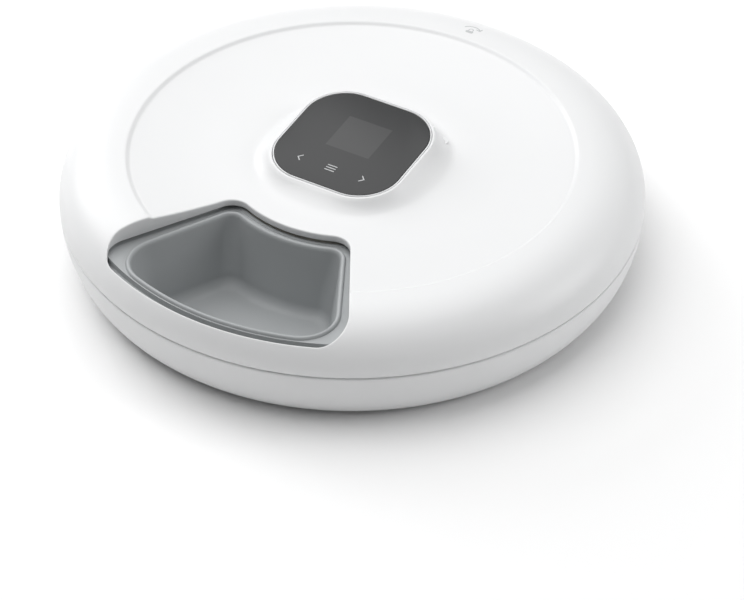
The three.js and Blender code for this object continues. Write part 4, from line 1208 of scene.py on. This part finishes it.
def screw_boss(x, y):
    """A blind tube for a screw, with a rib that ties it to the wall."""
    boss = Skin()
    low, top = floor_top + 0.3, floor_top + 12
    profile = [(0, floor_top + 10), (1.6, floor_top + 10), (1.6, low), (4, low), (4, top), (0, top)]
    revolved(boss, rounded(profile, [0, 0.2, 0.2, 0.3, 0.4, 0], 3), 36, (x, y))
    rib = slab(rectangle(hypot(x, y) + 2, hub_inner + 0.6, -1.5, 1.5, 0.3, 2), low, top - 0.5, 0.2, 2)
    rib.points = [(*turned([(px, py)], atan2(y, x))[0], z) for px, py, z in rib.points]
    return [boss, rib]


def hub_tower():
    under_ledge = ledge_top - 2.7
    profile = [(0, hub_high.z - 2), (hub_inner, hub_high.z - 2), (hub_inner, floor_top + 0.3),
               (hub_radius, floor_top + 0.3), (hub_radius, under_ledge - 4), (hub_high.x, under_ledge),
               (hub_high.x, ledge_top), (hub_radius, ledge_top), (hub_radius, hub_high.z), (0, hub_high.z)]
    profile = rounded(profile, [0, 1.2, 0.4, 0.4, 1, 0.5, 0.4, 0.5, 0.7, 0], 4)
    tower = lathed("hub_casing", profile, inner_white, 192, sharp=35)
    idler = centre_of((idler_low, idler_high))
    idler_reach = (idler_high.x - idler_low.x) / 2 + 0.6
    cut(tower, [
        rod(swivel_radius + 0.3, hub_high.z - 3, hub_high.z + 1, 0, 0, 96),
        rod(idler_reach, idler_low.z - 0.6, idler_high.z + 0.2, idler.x, idler.y, 64),
        block((sensor_low.x - 0.3, -3.3, sensor_low.z - 0.3), (sensor_high.x + 0.3, 3.3, ledge_top + 1))])
    pieces = [taken(tower)]
    for middle in hub_screws:
        pieces += screw_boss(*middle.xy)
    return joined(pieces).object("hub_casing", inner_white, 35)


place(hub_tower(), "base", "inner_white", "hub_tower")


def cross_screw(name, node, body):
    """A steel screw driven from below: a domed head with a cross recess, and a plain shank."""
    low, high = box_mm(node)
    x, y = centre_of((low, high)).xy
    head = (high.x - low.x) / 2 if node.startswith("hub") else 2.9
    profile = [(0, low.z), (head * 0.55, low.z + 0.05), (head * 0.85, low.z + 0.3), (head, low.z + 0.75),
               (head, low.z + 1.1), (1.3, low.z + 1.1), (1.3, high.z), (0, high.z)]
    screw = lathed(name, rounded(profile, [0, 0.5, 0.5, 0.3, 0.1, 0.2, 0.3, 0], 3), steel, 36, (x, y))
    arm, reach = 0.32, 1.6
    cut(screw, [post((x, y), *halves, low.z - 1, low.z + 0.7) for halves in ((reach, arm), (arm, reach))])
    place(screw, body, "steel", node)


for number in (1, 2, 3, 4):
    cross_screw(f"tower_screw_{number}", f"hub_screw_{number}", "base")
    cross_screw(f"cover_screw_{number}", f"liner_screw_{number}", "lid")

# ------------------------------------------------------------------ tray ring and gears
# The toothed ring under the tray and the idler gear are moulded in ivory acetal, and the pinion is brass.
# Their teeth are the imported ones.
acetal = moulded("acetal", (0.72, 0.7, 0.63), 0.4, depth=0.008, shade=0.03)
black_plastic = moulded("black_plastic", (0.02, 0.021, 0.023), 0.45, depth=0.015, shade=0.06)
finish_nodes(acetal, "acetal", "carousel_ring", "idler_gear")
finish_nodes(brass, "brass", "motor_pinion")
finish_nodes(steel, "steel", "motor_shaft", "idler_axle", "gear_bracket")
finish_nodes(steel, "steel", "bracket_screw_1", "bracket_screw_2")
finish_nodes(black_plastic, "black_plastic", "index_sensor")

# ------------------------------------------------------------------ rim rollers
# Four small acetal wheels on steel pins fixed in the base's lip carry the rim of the tray.
roller_width = 2.8


def rim_roller(number):
    low, high = box_mm(f"rim_roller_{number}")
    middle = centre_of((low, high))
    angle, reach = atan2(middle.y, middle.x), hypot(middle.x, middle.y)
    radius, half = (high.z - low.z) / 2, roller_width / 2
    profile = rounded([(1.8, -half), (2.6, -half), (2.9, -half + 0.3), (3.3, -half + 0.3), (3.5, -half),
                       (radius, -half), (radius, half), (3.5, half), (3.3, half - 0.3), (2.9, half - 0.3),
                       (2.6, half), (1.8, half)], [.2, .1, .1, .1, .1, .4, .4, .1, .1, .1, .1, .2], 3, True)
    wheel = Skin()
    revolved(wheel, profile, 48)
    turn = Matrix.Translation((0, 0, middle.z)) @ Matrix.Rotation(angle, 4, "Z")
    turn = turn @ Matrix.Translation((reach, 0, 0)) @ Matrix.Rotation(pi / 2, 4, "Y")
    wheel.points = [tuple(turn @ Vector(p)) for p in wheel.points]
    wheel = wheel.object(f"roller_wheel_{number}", acetal)
    place(wheel, f"roller_{number}", "acetal", f"rim_roller_{number}")


for number in (1, 2, 3, 4):
    rim_roller(number)
    finish_nodes(steel, "steel", f"roller_axle_{number}")

# ------------------------------------------------------------------ motor
# A small round steel motor can under a brass gearhead, which hangs from the steel bracket inside the hub.
motor_low, motor_high = box_mm("drive_motor")
head_low, head_high = box_mm("gearhead")


def motor():
    x, y = centre_of((motor_low, motor_high)).xy
    radius, low, top = (motor_high.x - motor_low.x) / 2, motor_low.z, motor_high.z
    profile = [(0, low), (3.4, low), (3.4, low + 0.5), (radius - 1.4, low + 0.5), (radius, low + 1.6),
               (radius, low + 4.4), (radius - 0.25, low + 4.7), (radius - 0.25, low + 5.1),
               (radius, low + 5.4), (radius, top), (0, top)]
    sizes = [0, 0.3, 0.3, 0.8, 0.8, 0.2, 0.1, 0.1, 0.2, 0.4, 0]
    place(lathed("motor_can", rounded(profile, sizes, 4), steel, 72, (x, y)), "base", "steel", "drive_motor")
    radius, low, top = (head_high.x - head_low.x) / 2, head_low.z, head_high.z
    profile = [(0, low), (radius, low), (radius, low + 1.4), (radius - 0.3, low + 1.6),
               (radius - 0.3, top - 1.6), (radius, top - 1.4), (radius, top), (0, top)]
    head = lathed("gearhead_can", rounded(profile, [0, .3, .1, .1, .1, .1, .4, 0], 3), brass, 72, (x, y))
    place(head, "base", "brass", "gearhead")


motor()

# ------------------------------------------------------------------ boards and leads
# Glass-fibre boards with a green solder resist and a few packaged parts, joined by red sleeved leads.
board_top = box_mm("main_board")[1].z


def board_material():
    """Green resist over tracks: a fine running pattern shows a little lighter where copper lies under it."""
    material = moulded("circuit_board", (0.02, 0.13, 0.06), 0.34, grain=900, depth=0.004, shade=0.1, coat=0.3)
    tree = material.node_tree
    spot = shader_node(tree, "TexCoord", {}).outputs["Object"]
    dark, bright = (0, 0, 0, 1), (1, 1, 1, 1)
    tracks = shader_node(tree, "TexBrick", {"Vector": spot, "Color1": dark, "Color2": dark, "Mortar": bright,
                                            "Scale": 190, "Mortar Size": 0.05})
    return blended(material, tracks.outputs["Color"], (0.045, 0.22, 0.1))


circuit_board = board_material()
lcd_grey = moulded("lcd_grey", (0.09, 0.1, 0.11), 0.25, grain=2600, depth=0.001, shade=0.04, coat=0.5)
lead_sleeve = moulded("lead_sleeve", (0.33, 0.045, 0.035), 0.45, grain=1800, depth=0.01, specular=0.4)
finish_nodes(circuit_board, "circuit_board", "main_board", "control_board", "contact_pad")
finish_nodes(lead_sleeve, "lead_sleeve", "socket_lead", "motor_lead")
finish_nodes(lcd_grey, "lcd_grey", "lcd_display")


def board_parts():
    """Controller, driver and connector housings soldered on the main board."""
    top = board_top - 0.05
    housings = ((-8, -14, 4.5, 4.5, 1.5), (-26, -14, 3, 2.2, 1.4), (10, -22, 2.2, 3, 1.4), (26, -20, 4, 3, 5),
                (-26, -24, 3.4, 2.4, 4.2), (0, 6, 2.6, 1.6, 1.2))
    parts = [slab(rectangle(x - a, x + a, y - b, y + b, 0.3, 2), top, top + height, 0.2, 2)
             for x, y, a, b, height in housings]
    return joined(parts).object("board_parts", black_plastic)


place(board_parts(), "base", "black_plastic")
finish_nodes(black_plastic, "black_plastic", "buzzer")


def power_socket():
    """Black moulded inlet at the end of the lead's groove, with a slot for an angled plug."""
    outline = rectangle(socket_low.x, socket_high.x, socket_low.y, socket_high.y, 0.8)
    inlet = slab(outline, socket_low.z, socket_high.z, 0.35).object("inlet", black_plastic)
    cut(inlet, [post(socket_middle.xy, 4.2, 1.6, 0, socket_high.z - 1.2)])
    return inlet


place(power_socket(), "base", "black_plastic", "power_socket")

# ------------------------------------------------------------------ contact socket
# A black moulded socket that swivels in the hub's top plate, so that the lid can turn. Two sprung brass pins
# in it press on the pad above and feed the panel.
pin_boxes = boxes("contact_pin", 2)


def swivel_socket():
    plate_top, plate_low = hub_high.z, hub_high.z - 2
    wide = swivel_high.x
    flange_low, flange_high = plate_low - 0.3, plate_top + 0.3
    profile = [(0, swivel_low.z), (wide, swivel_low.z), (wide, flange_low), (swivel_radius, flange_low),
               (swivel_radius, flange_high), (wide, flange_high), (wide, plate_top + 1.2),
               (0, plate_top + 1.2)]
    profile = rounded(profile, [0, 0.5, 0.2, 0.2, 0.2, 0.2, 0.5, 0], 4)
    base_plate = lathed("socket_base", profile, black_plastic, 96, sharp=50)
    head = slab(rectangle(-9, 9, -9, 9, 2.5), plate_top, swivel_high.z, 0.7)
    head = head.object("socket_head", black_plastic)
    bore_bottom = swivel_high.z - 5.5

    def bores(radius, bottom):
        return [rod(radius, bottom, swivel_high.z + 1, *centre_of(box).xy) for box in pin_boxes]

    cut(head, bores(1.5, bore_bottom) + bores(2.3, swivel_high.z - 0.5))
    cut(base_plate, bores(1.5, bore_bottom))
    return joined([taken(base_plate), taken(head)]).object("contact_socket", black_plastic)


place(swivel_socket(), "swivel", "black_plastic", "swivel_socket")
for number, (low, high) in enumerate(pin_boxes, 1):
    radius = (high.x - low.x) / 2
    profile = [(0, low.z), (radius, low.z), (radius, high.z - 1.2), (radius - 0.25, high.z - 0.9),
               (radius - 0.3, high.z - 0.35), (radius * 0.35, high.z), (0, high.z)]
    pin = lathed(f"sprung_pin_{number}", rounded(profile, [0, 0.2, 0.1, 0.1, 0.5, 0.3, 0], 4), brass, 36,
                 centre_of((low, high)).xy)
    place(pin, f"pin_{number}", "brass", f"contact_pin_{number}")

# ------------------------------------------------------------------ lid liner
# A white cover plate screwed under the middle of the lid closes the panel's electronics in; its square collar
# guides the contact socket to the pad.


def lid_liner():
    radius, low, top = liner_high.x, liner_low.z, liner_low.z + 1.5
    hole, collar_top = 9.5, liner_high.z
    profile = rounded([(0, low), (radius, low), (radius, top), (0, top)], [0, 0.5, 0.5, 0], 4)
    cover = lathed("cover_plate", profile, inner_white, 144, sharp=35)
    cutters = [rod(1.6, low - 1, top + 1, *middle.xy) for middle in liner_screws]
    opening = slab(rectangle(-hole, hole, -hole, hole, 2.8), low - 1, top + 1, 0.01, 1)
    cut(cover, [*cutters, opening.object("cutter", inner_white)])
    levels = [(hole, 2.8, low + 0.2), (hole, 2.8, collar_top - 0.3), (hole + 0.3, 3.1, collar_top),
              (hole + 1.3, 3.3, collar_top), (hole + 1.6, 3.6, collar_top - 0.3),
              (hole + 1.6, 3.6, low + 0.2), (hole, 2.8, low + 0.2)]
    collar = Skin()
    collar.bands(square_rings(levels, 96))
    return joined([taken(cover), collar]).object("cover_plate", inner_white, 35)


place(lid_liner(), "lid", "inner_white", "lid_liner")
